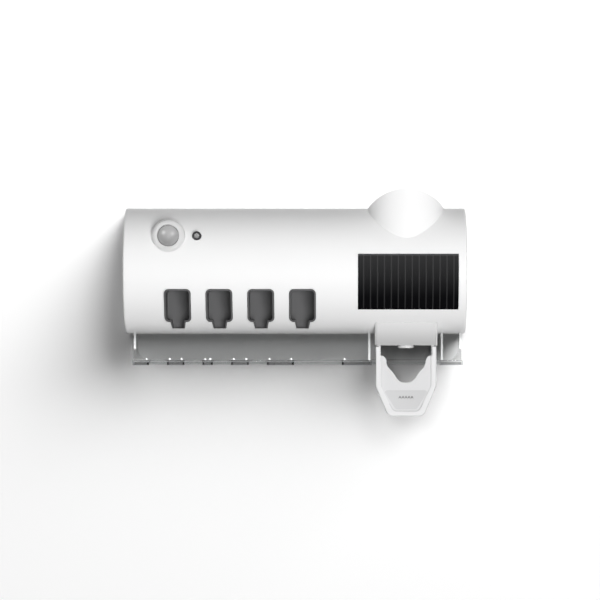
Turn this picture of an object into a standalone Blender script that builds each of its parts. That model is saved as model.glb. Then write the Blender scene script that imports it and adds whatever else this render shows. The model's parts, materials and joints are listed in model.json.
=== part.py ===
"""Wall-mounted UV sterilising holder with a press-to-dispense unit, a clear hanging rack and a solar panel.

Metres, +X to the right as the user faces it, +Y into the wall, +Z up. The origin is the middle of the
adhesive sheet's back face, on the wall. Run with blender --background --python part.py
"""

import math

import bmesh
import bpy
from mathutils import Matrix, Vector

MM = 0.001
FULL_TURN = 2 * math.pi
QUARTER_TURN = math.pi / 2

# Fits shared by all pieces
GAP = 0.3 * MM
OVERRUN = 4.0 * MM
SINK = 0.4 * MM
MERGE_DISTANCE = 0.003 * MM
CORNER_STEPS = 5
TURNED_STEPS = 20
BEVEL_ANGLE = math.radians(40)
SHARP_ANGLE = math.radians(32)

# Housing: a half-round bar with flat flanks that run back to the wall
BODY_LENGTH = 330 * MM
BODY_RADIUS = 61 * MM
AXIS_DEPTH = 25 * MM
WALL_STANDOFF = 1.5 * MM
COVER_WALL = 2.4 * MM
END_ROUND = 2.0 * MM
ARC_STEPS = 32
ROUND_STEPS = 3
HOLLOW_ROUND_STEPS = 1
AXIS_Y = -AXIS_DEPTH
REAR_Y = -WALL_STANDOFF

# Collar round the dispenser's mouth: an upright cylinder under an arched top
DISPENSER_END_GAP = 58 * MM
COLLAR_RADIUS = 36.5 * MM
COLLAR_FORWARD = 15.7 * MM
COLLAR_RISE = 17.8 * MM
COLLAR_MOUTH_RADIUS = 24.6 * MM
COLLAR_STEPS = 36
ARCH_STEPS = 16
DISPENSER_X = BODY_LENGTH / 2 - DISPENSER_END_GAP
COLLAR_Y = AXIS_Y - COLLAR_FORWARD
COLLAR_BASE_Z = BODY_RADIUS / 2
ARCH_RADIUS = (COLLAR_RADIUS**2 + COLLAR_RISE**2) / (2 * COLLAR_RISE)
ARCH_CENTRE_Z = BODY_RADIUS + COLLAR_RISE - ARCH_RADIUS

# Apron that hangs below the housing, in front of the dispenser's works
APRON_WIDTH = 60.6 * MM
APRON_FRONT_DEPTH = 35.5 * MM
APRON_LEAN = 3.0 * MM
APRON_DROP = 11.0 * MM
APRON_REAR_GAP = 12.5 * MM
APRON_ROUND = 3.0 * MM
APRON_STEPS = 4
APRON_CORNER_STEPS = 3
APRON_TOP_SHARE = 0.7
APRON_TOP_Z = -APRON_TOP_SHARE * BODY_RADIUS
APRON_BOTTOM_Z = -(BODY_RADIUS + APRON_DROP)
APRON_FRONT_Y = AXIS_Y - APRON_FRONT_DEPTH
APRON_REAR_Y = REAR_Y - APRON_REAR_GAP

# Bays: pockets in the lower front, each with a narrow slot below that opens to the front
BAY_COUNT = 4
BAY_PITCH = 40.0 * MM
BAY_END_GAP = 52.1 * MM
BAY_WIDTH = 25.4 * MM
BAY_HEIGHT = 31.4 * MM
BAY_CORNER = 4.3 * MM
BAY_WALL = 1.5 * MM
BAY_BACK_DEPTH = 14.0 * MM
BAY_SINK = 0.2 * MM
BAY_BACK_Y = AXIS_Y - BAY_BACK_DEPTH
BAY_FIRST_X = BAY_END_GAP - BODY_LENGTH / 2
NECK_TOP_WIDTH = 14.4 * MM
NECK_BOTTOM_WIDTH = 11.8 * MM
NECK_DROP = 6.2 * MM
NECK_WALL = 1.2 * MM
NECK_EDGE = 5.5 * MM
NECK_BOTTOM_Z = NECK_EDGE - BODY_RADIUS
BAY_BOTTOM_Z = NECK_BOTTOM_Z + NECK_DROP
BAY_TOP_Z = BAY_BOTTOM_Z + BAY_HEIGHT
LAMP_WINDOW_RADIUS = 3.2 * MM
LAMP_FORWARD = 15.0 * MM
LAMP_Y = BAY_BACK_Y - LAMP_FORWARD

# Lamp strip over the bays
LAMP_SIZE = 5.0 * MM
LAMP_HEIGHT = 2.2 * MM
LAMP_DOME_RADIUS = 1.7 * MM
LAMP_DOME_STEPS = 4
STRIP_DEPTH = 16.0 * MM
STRIP_THICKNESS = 1.6 * MM
STRIP_MARGIN = 14.0 * MM
LAMP_LOW_Z = BAY_TOP_Z + GAP
STRIP_LOW_Z = LAMP_LOW_Z + LAMP_HEIGHT + GAP

# Motion sensor's eye and the small indicator beside it
FACE_TILT = math.radians(8)
EYE_END_GAP = 43.5 * MM
EYE_Z = 33.6 * MM
EYE_BOSS_RADIUS = 16.4 * MM
EYE_BOSS_PROUD = 5.7 * MM
EYE_BOSS_ROUND = 3.0 * MM
EYE_LENS_RADIUS = 10.2 * MM
EYE_LENS_RISE = 8.2 * MM
EYE_LENS_WALL = 1.2 * MM
EYE_LENS_STEPS = 4
EYE_FLANGE = 1.8 * MM
EYE_FLANGE_THICKNESS = 1.2 * MM
SENSOR_RADIUS = 4.6 * MM
SENSOR_RIM = 0.7 * MM
SENSOR_HEIGHT = 4.2 * MM
EYE_BOARD_THICKNESS = 1.6 * MM
INDICATOR_OFFSET_X = 27.2 * MM
INDICATOR_Z = 33.7 * MM
INDICATOR_PROUD = 2.8 * MM
INDICATOR_RADIUS = 4.3 * MM
INDICATOR_WALL = 1.3 * MM
INDICATOR_LENGTH = 9.0 * MM
INDICATOR_DOME = 1.4 * MM
INDICATOR_DOME_STEPS = 4
EYE_X = EYE_END_GAP - BODY_LENGTH / 2
EYE_BOSS_FORWARD = math.sqrt(BODY_RADIUS**2 - EYE_Z**2) + EYE_BOSS_PROUD
INDICATOR_X = EYE_X + INDICATOR_OFFSET_X
INDICATOR_FORWARD = math.sqrt(BODY_RADIUS**2 - INDICATOR_Z**2) + INDICATOR_PROUD

# Solar panel, bonded into a shallow recess that follows the housing's curve
SOLAR_END_GAP = 8.2 * MM
SOLAR_LENGTH = 96.4 * MM
SOLAR_TOP_Z = 15.9 * MM
SOLAR_BOTTOM_Z = -37.1 * MM
SOLAR_RECESS = 1.2 * MM
SOLAR_PROUD = 0.25 * MM
SOLAR_STEPS = 12
WIRE_HOLE_RADIUS = 2.5 * MM
SOLAR_X = BODY_LENGTH / 2 - SOLAR_END_GAP - SOLAR_LENGTH / 2

# Back plate, its screws and the posts of the cover that take them
PLATE_THICKNESS = 2.5 * MM
PLATE_CORNER = 2.0 * MM
PLATE_SETBACK = 6.0 * MM
PLATE_REAR_Y = -PLATE_SETBACK
PLATE_FRONT_Y = PLATE_REAR_Y - PLATE_THICKNESS
POST_RADIUS = 3.8 * MM
POST_LENGTH = 22.0 * MM
POST_INSET = 3.2 * MM
POST_END_INSET = 15.0 * MM
POST_MIDDLE_X = -10.0 * MM
SCREW_RADIUS = 1.4 * MM
SCREW_LENGTH = 11.0 * MM
SCREW_HEAD_RADIUS = 2.7 * MM
SCREW_HEAD_HEIGHT = 1.4 * MM
SCREW_CROWN_SHARE = 0.7
SCREW_SLOT = 0.8 * MM
SCREW_STEPS = 8

# Wall bracket: an adhesive sheet, a plate and two upturned hooks
SHEET_LENGTH = 190 * MM
SHEET_HEIGHT = 50 * MM
SHEET_THICKNESS = 1.0 * MM
SHEET_CORNER = 6.0 * MM
BRACKET_LENGTH = 200 * MM
BRACKET_HEIGHT = 58 * MM
BRACKET_THICKNESS = 2.8 * MM
BRACKET_CORNER = 8.0 * MM
HOOK_SPREAD = 160 * MM
HOOK_WIDTH = 18 * MM
HOOK_ARM = 3.2 * MM
HOOK_ARM_Z = 6.0 * MM
HOOK_LIP_RISE = 7.0 * MM
HOOK_LIP_THICKNESS = 2.4 * MM
HOOK_LIP_GAP = 0.6 * MM
LIFT_SPARE = 1.0 * MM
BRACKET_REAR_Y = -(SHEET_THICKNESS + GAP)
BRACKET_FRONT_Y = BRACKET_REAR_Y - BRACKET_THICKNESS
HOOK_LIP_Y = PLATE_FRONT_Y - HOOK_LIP_GAP
BUMPER_RADIUS = 6.0 * MM
BUMPER_END_GAP = 30 * MM
BUMPER_EDGE_GAP = 21.0 * MM
BUMPER_SPREAD = BODY_LENGTH - 2 * BUMPER_END_GAP
BUMPER_Z = BUMPER_EDGE_GAP - BODY_RADIUS

# Battery cell and its cradle
CELL_RADIUS = 9.2 * MM
CELL_LENGTH = 65.0 * MM
CELL_BUTTON_RADIUS = 3.0 * MM
CELL_BUTTON_HEIGHT = 1.2 * MM
CELL_STEPS = 24
CELL_X = -16.0 * MM
CELL_EDGE_GAP = 29.0 * MM
CRADLE_WALL = 1.8 * MM
CRADLE_FLOOR = 1.6 * MM
CELL_Z = BODY_RADIUS - CELL_EDGE_GAP
CRADLE_FRONT_Y = PLATE_FRONT_Y - GAP
CELL_Y = CRADLE_FRONT_Y - CRADLE_FLOOR - GAP - CELL_RADIUS

# Main board with the charging port and the power key, both at the left end
BOARD_LENGTH = 62.0 * MM
BOARD_HEIGHT = 34.0 * MM
BOARD_THICKNESS = 1.6 * MM
BOARD_STANDOFF = 5.0 * MM
BOARD_Z = 20.0 * MM
BOARD_POST_RADIUS = 3.0 * MM
BOARD_POST_INSET = 5.0 * MM
END_INNER_X = -(BODY_LENGTH / 2 - COVER_WALL)
BOARD_REAR_Y = PLATE_FRONT_Y - BOARD_STANDOFF
BOARD_FRONT_Y = BOARD_REAR_Y - BOARD_THICKNESS
PORT_WIDTH = 9.0 * MM
PORT_THICKNESS = 3.3 * MM
PORT_CORNER = 1.5 * MM
PORT_LENGTH = 9.6 * MM
PORT_WALL = 0.4 * MM
PORT_TONGUE = 0.7 * MM
PORT_SINK = 0.6 * MM
PORT_Z = 11.0 * MM
PORT_STEPS = 4
KEY_RADIUS = 4.0 * MM
KEY_PROUD = 1.0 * MM
KEY_TRAVEL = 0.8 * MM
KEY_FLANGE = 1.2 * MM
KEY_FLANGE_THICKNESS = 1.0 * MM
KEY_Z = 28.0 * MM
SWITCH_SIZE = 6.0 * MM
SWITCH_LENGTH = 5.0 * MM
BOARD_LEFT_X = END_INNER_X + KEY_FLANGE_THICKNESS + KEY_TRAVEL + 2 * GAP
KEY_Y = BOARD_FRONT_Y - GAP - SWITCH_SIZE / 2
PORT_Y = BOARD_FRONT_Y - GAP - PORT_THICKNESS / 2

# Dispenser: funnel, seal, channel, check valve and nozzle
FUNNEL_RADIUS = COLLAR_MOUTH_RADIUS - GAP
FUNNEL_WALL = 1.8 * MM
FUNNEL_THROAT_RADIUS = 19.0 * MM
FUNNEL_SINK = 0.5 * MM
SOCKET_DEPTH = 27.0 * MM
SOCKET_FLOOR = 3.0 * MM
SOCKET_WALL = 1.8 * MM
CHANNEL_FLANGE_RADIUS = 13.0 * MM
CHANNEL_FLANGE = 2.6 * MM
CHANNEL_CONE = 4.0 * MM
CHANNEL_RADIUS = 4.5 * MM
CHANNEL_WALL = 2.0 * MM
CHANNEL_LIFT = 6.0 * MM
SEAL_HEIGHT = 5.0 * MM
SEAL_BORE_RADIUS = 6.5 * MM
SEAL_LIP = 1.6 * MM
VALVE_HEIGHT = 6.0 * MM
VALVE_RIM = 1.4 * MM
VALVE_STEP = 0.65 * MM
VALVE_WALL = 0.9 * MM
VALVE_DROP = 12.0 * MM
VALVE_BILL_RADIUS = 1.35 * MM
VALVE_SLIT_RADIUS = 0.45 * MM
NOZZLE_RADIUS = 7.75 * MM
NOZZLE_DROP = 2.7 * MM
NOZZLE_BORE_RADIUS = 2.6 * MM
NOZZLE_CUP = 2.0 * MM
NOZZLE_EDGE = 0.4 * MM
SOCKET_FLOOR_Z = BODY_RADIUS - SOCKET_DEPTH
CHANNEL_BOTTOM_Z = APRON_BOTTOM_Z + CHANNEL_LIFT
NOZZLE_TOP_Z = CHANNEL_BOTTOM_Z - GAP
NOZZLE_BOTTOM_Z = APRON_BOTTOM_Z - NOZZLE_DROP
WEB_WIDTH = 16.0 * MM
WEB_HEIGHT = 30.0 * MM
WEB_DROP = 10.0 * MM
WEB_SCREW_SPREAD = 18.0 * MM
WEB_TOP_Z = SOCKET_FLOOR_Z - WEB_DROP

# Push lever: a framed scoop on a pivot inside the apron
PIVOT_DEPTH = 27.2 * MM
PIVOT_RADIUS = 1.5 * MM
PIVOT_DROP = 21.0 * MM
PIVOT_SEAT = 1.0 * MM
PIVOT_Y = AXIS_Y - PIVOT_DEPTH
PIVOT_Z = APRON_BOTTOM_Z + PIVOT_DROP
LEVER_WIDTH = 58.6 * MM
LEVER_DEPTH = 7.4 * MM
LEVER_CLEAR = 1.0 * MM
LEVER_STRAIGHT = 38.4 * MM
LEVER_LENGTH = 67.6 * MM
LEVER_TOE_WIDTH = 34.4 * MM
LEVER_TOE_ROUND = 7.5 * MM
LEVER_RIM = 4.9 * MM
LEVER_EDGE_ROUND = 1.2 * MM
LEVER_EDGE_STEPS = 2
LEVER_TOE_STEPS = 6
LEVER_FACE_SINK = 1.6 * MM
LEVER_PANEL = 2.0 * MM
LEVER_ARM_THICKNESS = 2.8 * MM
LEVER_ARM_DEPTH = 4.0 * MM
LEVER_ARM_LAP = 10.0 * MM
LEVER_EYE_RADIUS = 3.4 * MM
LEVER_EYE_STEPS = 8
LEVER_SWING = math.radians(16)
LEVER_SPARE_SWING = math.radians(4)
LEVER_BAR_DROP = 9.0 * MM
LEVER_BAR_HEIGHT = 4.0 * MM
LEVER_BAR_THICKNESS = 2.2 * MM
PRESS_PAD_SINK = 0.7 * MM
PRESS_PAD_MARGIN = 2.4 * MM
LEVER_TOP_Z = APRON_BOTTOM_Z - LEVER_CLEAR
LEVER_TOE_Z = LEVER_TOP_Z - LEVER_LENGTH
LEVER_FRONT_Y = APRON_FRONT_Y + APRON_LEAN
LEVER_REAR_Y = LEVER_FRONT_Y + LEVER_DEPTH
PRESS_PAD_TOP_SHARE = 0.626
PRESS_PAD_TOP_Z = LEVER_TOP_Z - PRESS_PAD_TOP_SHARE * LEVER_LENGTH
# The scoop's edge, rim to middle: shares of half the opening's width and of the lever's length
SCOOP_SHARES = (
    (1.04, 0.128), (0.87, 0.145), (0.78, 0.203), (0.765, 0.25), (0.685, 0.308), (0.553, 0.355),
    (0.447, 0.411), (0.315, 0.478), (0.16, 0.512), (0.0, 0.521),
)

# Plunger behind the lever's bar, and the spring that returns the lever
PLUNGER_RADIUS = 3.0 * MM
PLUNGER_LENGTH = 5.0 * MM
PLUNGER_NOSE = 1.2 * MM
SPRING_WIRE_RADIUS = 0.45 * MM
SPRING_COIL_RADIUS = 2.6 * MM
SPRING_TURNS = 5.5
SPRING_POINTS_PER_TURN = 9
SPRING_PITCH_SHARE = 3.2
SPRING_LEG_RISE = 4.5 * MM
SPRING_LEG_DROP = 10.3 * MM
SPRING_OFFSET_X = 15.0 * MM

# Hanging rack: a clear tray with a notched front edge
RACK_LEFT_GAP = 6.9 * MM
RACK_RIGHT_GAP = 2.5 * MM
RACK_WALL = 2.0 * MM
RACK_REAR_GAP = 2.3 * MM
RACK_FRONT_DEPTH = 15.0 * MM
RACK_DROP = 27.4 * MM
RACK_SKIRT = 4.6 * MM
RACK_SKIRT_WALL = 1.7 * MM
RACK_EDGE_ROUND = 0.9 * MM
RACK_EDGE_STEPS = 2
RACK_WALL_INSET = 1.3 * MM
RACK_END_SWEEP = 12.0 * MM
RACK_SWEEP_STEPS = 5
RACK_BAY_CLEAR = 2.6 * MM
RACK_BAY_STRIP = 8.0 * MM
NOTCH_WIDTH = 17.6 * MM
NOTCH_DEPTH = 21.0 * MM
NOTCH_STEPS = 6
WIDE_NOTCH_WIDTH = 46.6 * MM
WIDE_NOTCH_CORNER = 8.0 * MM
WIDE_NOTCH_STEPS = 5
# Middles of the notches, as shares of the tray's length from its left end
NOTCH_PLACE_SHARES = (0.1064, 0.2545, 0.3738, 0.5241)
WIDE_NOTCH_PLACE_SHARE = 0.7752
NIB_RADIUS = 1.2 * MM
NIB_RISE = 2.2 * MM
NIB_INSET = 2.6 * MM
NIB_STEPS = 8
NIB_DOME_STEPS = 2
TAB_WIDTH = 14.0 * MM
TAB_THICKNESS = 1.6 * MM
TAB_RISE = 9.0 * MM
# Middles of the tabs that hold the rack, as shares of its length from its middle
TAB_PLACE_SHARES = (-0.42, -0.18, 0.12, 0.39)
RACK_LENGTH = BODY_LENGTH - RACK_LEFT_GAP - RACK_RIGHT_GAP
RACK_X = (RACK_LEFT_GAP - RACK_RIGHT_GAP) / 2
RACK_LEFT_X = RACK_X - RACK_LENGTH / 2
RACK_RIGHT_X = RACK_X + RACK_LENGTH / 2
RACK_BAY_HALF = APRON_WIDTH / 2 + RACK_BAY_CLEAR
TRAY_LENGTH = DISPENSER_X - RACK_BAY_HALF - RACK_LEFT_X
RACK_TOP_Z = -(BODY_RADIUS + GAP)
RACK_FLOOR_TOP_Z = RACK_TOP_Z - RACK_DROP + RACK_WALL
RACK_REAR_Y = -RACK_REAR_GAP
RACK_FRONT_Y = AXIS_Y - RACK_FRONT_DEPTH
RACK_BACK_WALL_Y = RACK_REAR_Y - RACK_WALL_INSET - RACK_WALL / 2


def clear_scene():
    for obj in list(bpy.data.objects):
        bpy.data.objects.remove(obj)


def make_material(name, colour, roughness, metallic=0.0, transmission=0.0):
    material = bpy.data.materials.new(name)
    material.use_nodes = True
    shader = material.node_tree.nodes["Principled BSDF"]
    shader.inputs["Base Color"].default_value = (*colour, 1.0)
    shader.inputs["Roughness"].default_value = roughness
    shader.inputs["Metallic"].default_value = metallic
    shader.inputs["Transmission Weight"].default_value = transmission
    return material


def make_object(name, mesh_data):
    """A linked object from a bmesh, with its normals made to face out."""
    bmesh.ops.recalc_face_normals(mesh_data, faces=mesh_data.faces)
    mesh = bpy.data.meshes.new(name)
    mesh_data.to_mesh(mesh)
    mesh_data.free()
    obj = bpy.data.objects.new(name, mesh)
    bpy.context.scene.collection.objects.link(obj)
    return obj


def loft(name, rings):
    """A closed body through rings of as many points each, capped at both ends."""
    shape = bmesh.new()
    rows = [[shape.verts.new(point) for point in ring] for ring in rings]
    count = len(rows[0])
    for lower, upper in zip(rows, rows[1:]):
        for i in range(count):
            j = (i + 1) % count
            shape.faces.new((lower[i], lower[j], upper[j], upper[i]))
    shape.faces.new(rows[0])
    shape.faces.new(rows[-1])
    return make_object(name, shape)


def prism(name, outline, axis, low, high):
    """An outline pushed along X, Y or Z. Its pairs are (y, z), (x, z) or (x, y)."""
    places = {
        "X": lambda u, v, w: (w, u, v),
        "Y": lambda u, v, w: (u, w, v),
        "Z": lambda u, v, w: (u, v, w),
    }
    place = places[axis]
    return loft(name, [[place(u, v, w) for u, v in outline] for w in (low, high)])


def block(name, low, high):
    """A box between two corners."""
    outline = [(low[0], low[1]), (high[0], low[1]), (high[0], high[1]), (low[0], high[1])]
    return prism(name, outline, "Z", low[2], high[2])


def turned(name, profile, steps=TURNED_STEPS, closed=False):
    """A profile of (radius, height) pairs spun about Z. A closed profile gives a ring."""
    shape = bmesh.new()
    points = [shape.verts.new((radius, 0, height)) for radius, height in profile]
    pairs = list(zip(points, points[1:]))
    if closed:
        pairs.append((points[-1], points[0]))
    edges = [shape.edges.new(pair) for pair in pairs]
    bmesh.ops.spin(
        shape, geom=points + edges, cent=(0, 0, 0), axis=(0, 0, 1), dvec=(0, 0, 0),
        angle=FULL_TURN, steps=steps, use_merge=True, use_duplicate=False,
    )
    bmesh.ops.remove_doubles(shape, verts=shape.verts, dist=MERGE_DISTANCE)
    return make_object(name, shape)


def rod(name, radius, low, high, steps=TURNED_STEPS):
    """A plain round bar about Z."""
    shape = bmesh.new()
    bmesh.ops.create_cone(
        shape, cap_ends=True, segments=steps, radius1=radius, radius2=radius, depth=high - low,
        matrix=Matrix.Translation((0, 0, (low + high) / 2)),
    )
    return make_object(name, shape)


def place(obj, location, rotation=(0, 0, 0)):
    """Turns and moves a piece, and settles that into its mesh."""
    turn = Matrix.Rotation(rotation[2], 4, "Z") @ Matrix.Rotation(rotation[1], 4, "Y")
    turn = turn @ Matrix.Rotation(rotation[0], 4, "X")
    obj.data.transform(Matrix.Translation(location) @ turn)
    return obj


def apply_modifiers(obj):
    bpy.context.view_layer.update()
    graph = bpy.context.evaluated_depsgraph_get()
    result = bpy.data.meshes.new_from_object(obj.evaluated_get(graph))
    obj.modifiers.clear()
    obj.data = result
    return obj


def combine(target, operation, *tools):
    """Unites target with each tool, cuts them from it or keeps what they share, then drops the tools."""
    for tool in tools:
        modifier = target.modifiers.new(operation, "BOOLEAN")
        modifier.operation = operation
        modifier.object = tool
        apply_modifiers(target)
        bpy.data.objects.remove(tool)
    return target


def cut(target, *tools):
    return combine(target, "DIFFERENCE", *tools)


def unite(target, *tools):
    return combine(target, "UNION", *tools)


def keep_shared(target, *tools):
    return combine(target, "INTERSECT", *tools)


def round_edges(obj, width, segments):
    modifier = obj.modifiers.new("Round", "BEVEL")
    modifier.width = width
    modifier.segments = segments
    modifier.limit_method = "ANGLE"
    modifier.angle_limit = BEVEL_ANGLE
    return apply_modifiers(obj)


def finish(obj, material, parent, origin=(0, 0, 0)):
    """Shades the piece, gives it its one material, and hangs it from its group with its own origin."""
    obj.data.materials.clear()
    obj.data.materials.append(material)
    obj.data.shade_smooth()
    obj.data.set_sharp_from_angle(angle=SHARP_ANGLE)
    obj.data.transform(Matrix.Translation(-Vector(origin)))
    obj.location = Vector(origin) - parent.location
    obj.parent = parent
    return obj


def repeat(obj, material, parent, places):
    """Finishes one piece and sets numbered copies of it, which share its mesh, at the places."""
    name = obj.name
    finish(obj, material, parent)
    for i, at in enumerate(places):
        copy = obj.copy() if i else obj
        if i:
            bpy.context.scene.collection.objects.link(copy)
        copy.location = Vector(at) - parent.location
        copy.name = f"{name}_{i + 1}"


def make_group(name, location=(0, 0, 0)):
    group = bpy.data.objects.new(name, None)
    bpy.context.scene.collection.objects.link(group)
    group.location = location
    return group


def arc_points(centre, radius, start, end, steps):
    turns = [start + (end - start) * i / steps for i in range(steps + 1)]
    return [(centre[0] + radius * math.cos(t), centre[1] + radius * math.sin(t)) for t in turns]


def rounded_box(low, high, radius, steps=CORNER_STEPS):
    """The outline of a rectangle with round corners."""
    corners = ((high[0], high[1], 0), (low[0], high[1], 1), (low[0], low[1], 2), (high[0], low[1], 3))
    outline = []
    for x, y, quarter in corners:
        centre = (x - math.copysign(radius, x - (low[0] + high[0]) / 2),
                  y - math.copysign(radius, y - (low[1] + high[1]) / 2))
        start = quarter * QUARTER_TURN
        outline += arc_points(centre, radius, start, start + QUARTER_TURN, steps)
    return outline


def housing_section(inset, rear_y):
    """The housing's D section as (y, z) pairs, drawn in from its outside by inset."""
    radius = BODY_RADIUS - inset
    arc = arc_points((AXIS_Y, 0), radius, QUARTER_TURN, 3 * QUARTER_TURN, ARC_STEPS)
    return [(rear_y, radius)] + arc + [(rear_y, -radius)]


def housing_block(name, inset, rear_y, round_steps):
    """The housing's section lofted along X, its ends rounded over."""
    half = BODY_LENGTH / 2 - inset
    edge = max(END_ROUND - inset, SINK)
    turns = [QUARTER_TURN * i / round_steps for i in range(round_steps + 1)]
    stations = [(half - edge * (1 - math.sin(t)), edge * (1 - math.cos(t))) for t in turns]
    left = [(-x, drawn) for x, drawn in reversed(stations)]
    rings = []
    for x, drawn in left + stations:
        rings.append([(x, y, z) for y, z in housing_section(inset + drawn, rear_y)])
    return loft(name, rings)


def surface_sector(name, low_radius, high_radius, low_z, high_z, low_x, high_x, trim=0.0):
    """A plate that follows the housing's curve, between two heights measured on its outside."""
    start = math.pi - math.asin((high_z - trim) / BODY_RADIUS)
    end = math.pi - math.asin((low_z + trim) / BODY_RADIUS)
    outer = arc_points((AXIS_Y, 0), high_radius, start, end, SOLAR_STEPS)
    inner = arc_points((AXIS_Y, 0), low_radius, end, start, SOLAR_STEPS)
    return prism(name, outer + inner, "X", low_x + trim, high_x - trim)


def collar_block(name, inset):
    """The collar: an upright cylinder cut off by an arch that runs front to back."""
    top_z = BODY_RADIUS + COLLAR_RISE + OVERRUN
    upright = rod(name, COLLAR_RADIUS - inset, COLLAR_BASE_Z, top_z, COLLAR_STEPS)
    place(upright, (DISPENSER_X, COLLAR_Y, 0))
    return keep_shared(upright, arch_prism(inset, COLLAR_BASE_Z - OVERRUN))


def arch_prism(inset, base_z):
    radius = ARCH_RADIUS - inset
    reach = COLLAR_RADIUS + OVERRUN
    start = math.acos(reach / ARCH_RADIUS)
    arc = arc_points((DISPENSER_X, ARCH_CENTRE_Z), radius, start, math.pi - start, ARCH_STEPS)
    outline = [(arc[-1][0], base_z), (arc[0][0], base_z)] + arc
    return prism("arch", outline, "Y", COLLAR_Y - reach, COLLAR_Y + reach)


def apron_front_y(z):
    """The apron's face curves back towards its lower edge."""
    fallen = max(0.0, (APRON_TOP_Z - z) / (APRON_TOP_Z - APRON_BOTTOM_Z))
    return APRON_FRONT_Y + APRON_LEAN * fallen**2


def apron_block(name, inset, bottom_z):
    half = APRON_WIDTH / 2 - inset
    corner = APRON_ROUND - inset / 2
    rings = []
    for i in range(APRON_STEPS + 1):
        z = APRON_TOP_Z + (bottom_z - APRON_TOP_Z) * i / APRON_STEPS
        low = (DISPENSER_X - half, apron_front_y(z) + inset)
        high = (DISPENSER_X + half, APRON_REAR_Y - inset)
        rings.append([(x, y, z) for x, y in rounded_box(low, high, corner, APRON_CORNER_STEPS)])
    return loft(name, rings)


def eye_place(forward):
    """A point on the eye's own axis, so far in front of the housing's axis at the eye's middle."""
    slack = forward - EYE_BOSS_FORWARD
    y = AXIS_Y - EYE_BOSS_FORWARD - slack * math.cos(FACE_TILT)
    return (EYE_X, y, EYE_Z + slack * math.sin(FACE_TILT))


def facing(obj, location):
    """Turns a piece made about Z so that Z points out of the housing's face."""
    return place(obj, location, (QUARTER_TURN - FACE_TILT, 0, 0))


def bay_middles():
    return [BAY_FIRST_X + BAY_PITCH * i for i in range(BAY_COUNT)]


def bay_outline(clear):
    low = (-BAY_WIDTH / 2 - clear, BAY_BOTTOM_Z - clear)
    high = (BAY_WIDTH / 2 + clear, BAY_TOP_Z + clear)
    return rounded_box(low, high, BAY_CORNER + clear)


def neck_outline(clear, top_z, bottom_z):
    """The tapered outline of the slot under a bay, grown by clear."""
    taper = (NECK_TOP_WIDTH - NECK_BOTTOM_WIDTH) / 2 / NECK_DROP
    top = NECK_TOP_WIDTH / 2 + clear + taper * (top_z - BAY_BOTTOM_Z)
    bottom = NECK_TOP_WIDTH / 2 + clear - taper * (BAY_BOTTOM_Z - bottom_z)
    return [(-top, top_z), (-bottom, bottom_z), (bottom, bottom_z), (top, top_z)]


def post_places():
    """Middles of the cover's screw posts, as (x, z)."""
    reach = BODY_LENGTH / 2 - POST_END_INSET
    height = BODY_RADIUS - COVER_WALL - POST_INSET
    return [(x, side * height) for x in (-reach, POST_MIDDLE_X, reach) for side in (-1, 1)]


def web_screw_places():
    middle = WEB_TOP_Z - WEB_HEIGHT / 2
    return [(DISPENSER_X, middle + side * WEB_SCREW_SPREAD / 2) for side in (-1, 1)]


def along_y(obj, x, z, y=0.0):
    """Turns a piece made about Z so that Z points out of the wall."""
    return place(obj, (x, y, z), (QUARTER_TURN, 0, 0))


def tab_middles():
    return [RACK_X + share * RACK_LENGTH for share in TAB_PLACE_SHARES]


def tab(name, x, clear, low_z, high_z):
    """A tongue on top of the rack's back wall, or the slot for it, grown by clear."""
    reach = TAB_WIDTH / 2 + clear
    depth = TAB_THICKNESS / 2 + clear
    low = (x - reach, RACK_BACK_WALL_Y - depth, low_z)
    high = (x + reach, RACK_BACK_WALL_Y + depth, high_z)
    return block(name, low, high)


def front_cover():
    """The moulded shell: half-round bar, collar, apron and eye boss in one, hollow from behind."""
    cover = housing_block("front_cover", 0, REAR_Y, ROUND_STEPS)
    eye_top = eye_place(EYE_BOSS_FORWARD)
    boss = [(0, -EYE_LENS_RADIUS - OVERRUN), (EYE_BOSS_RADIUS, -EYE_LENS_RADIUS - OVERRUN),
            (EYE_BOSS_RADIUS, -EYE_BOSS_ROUND), (EYE_BOSS_RADIUS - EYE_BOSS_ROUND, 0), (0, 0)]
    unite(
        cover,
        collar_block("collar", 0),
        apron_block("apron", 0, APRON_BOTTOM_Z),
        facing(turned("eye_boss", boss), eye_top),
    )
    hollow = housing_block("hollow", COVER_WALL, OVERRUN, HOLLOW_ROUND_STEPS)
    bore = rod("eye_bore", EYE_BOSS_RADIUS - COVER_WALL, -EYE_LENS_RADIUS - 2 * OVERRUN, -COVER_WALL)
    unite(
        hollow,
        collar_block("collar_hollow", COVER_WALL),
        apron_block("apron_hollow", COVER_WALL, APRON_BOTTOM_Z - OVERRUN),
        facing(bore, eye_top),
    )
    cut(cover, hollow)
    for x, z in post_places():
        post = rod("post", POST_RADIUS, 0, POST_LENGTH, SCREW_STEPS)
        unite(cover, along_y(post, x, z, PLATE_FRONT_Y - GAP))
        pilot = rod("pilot", SCREW_RADIUS + GAP, -OVERRUN, SCREW_LENGTH, SCREW_STEPS)
        cut(cover, along_y(pilot, x, z, PLATE_FRONT_Y - GAP))
    cut_front_openings(cover)
    cut_other_openings(cover)
    return cover


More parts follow.
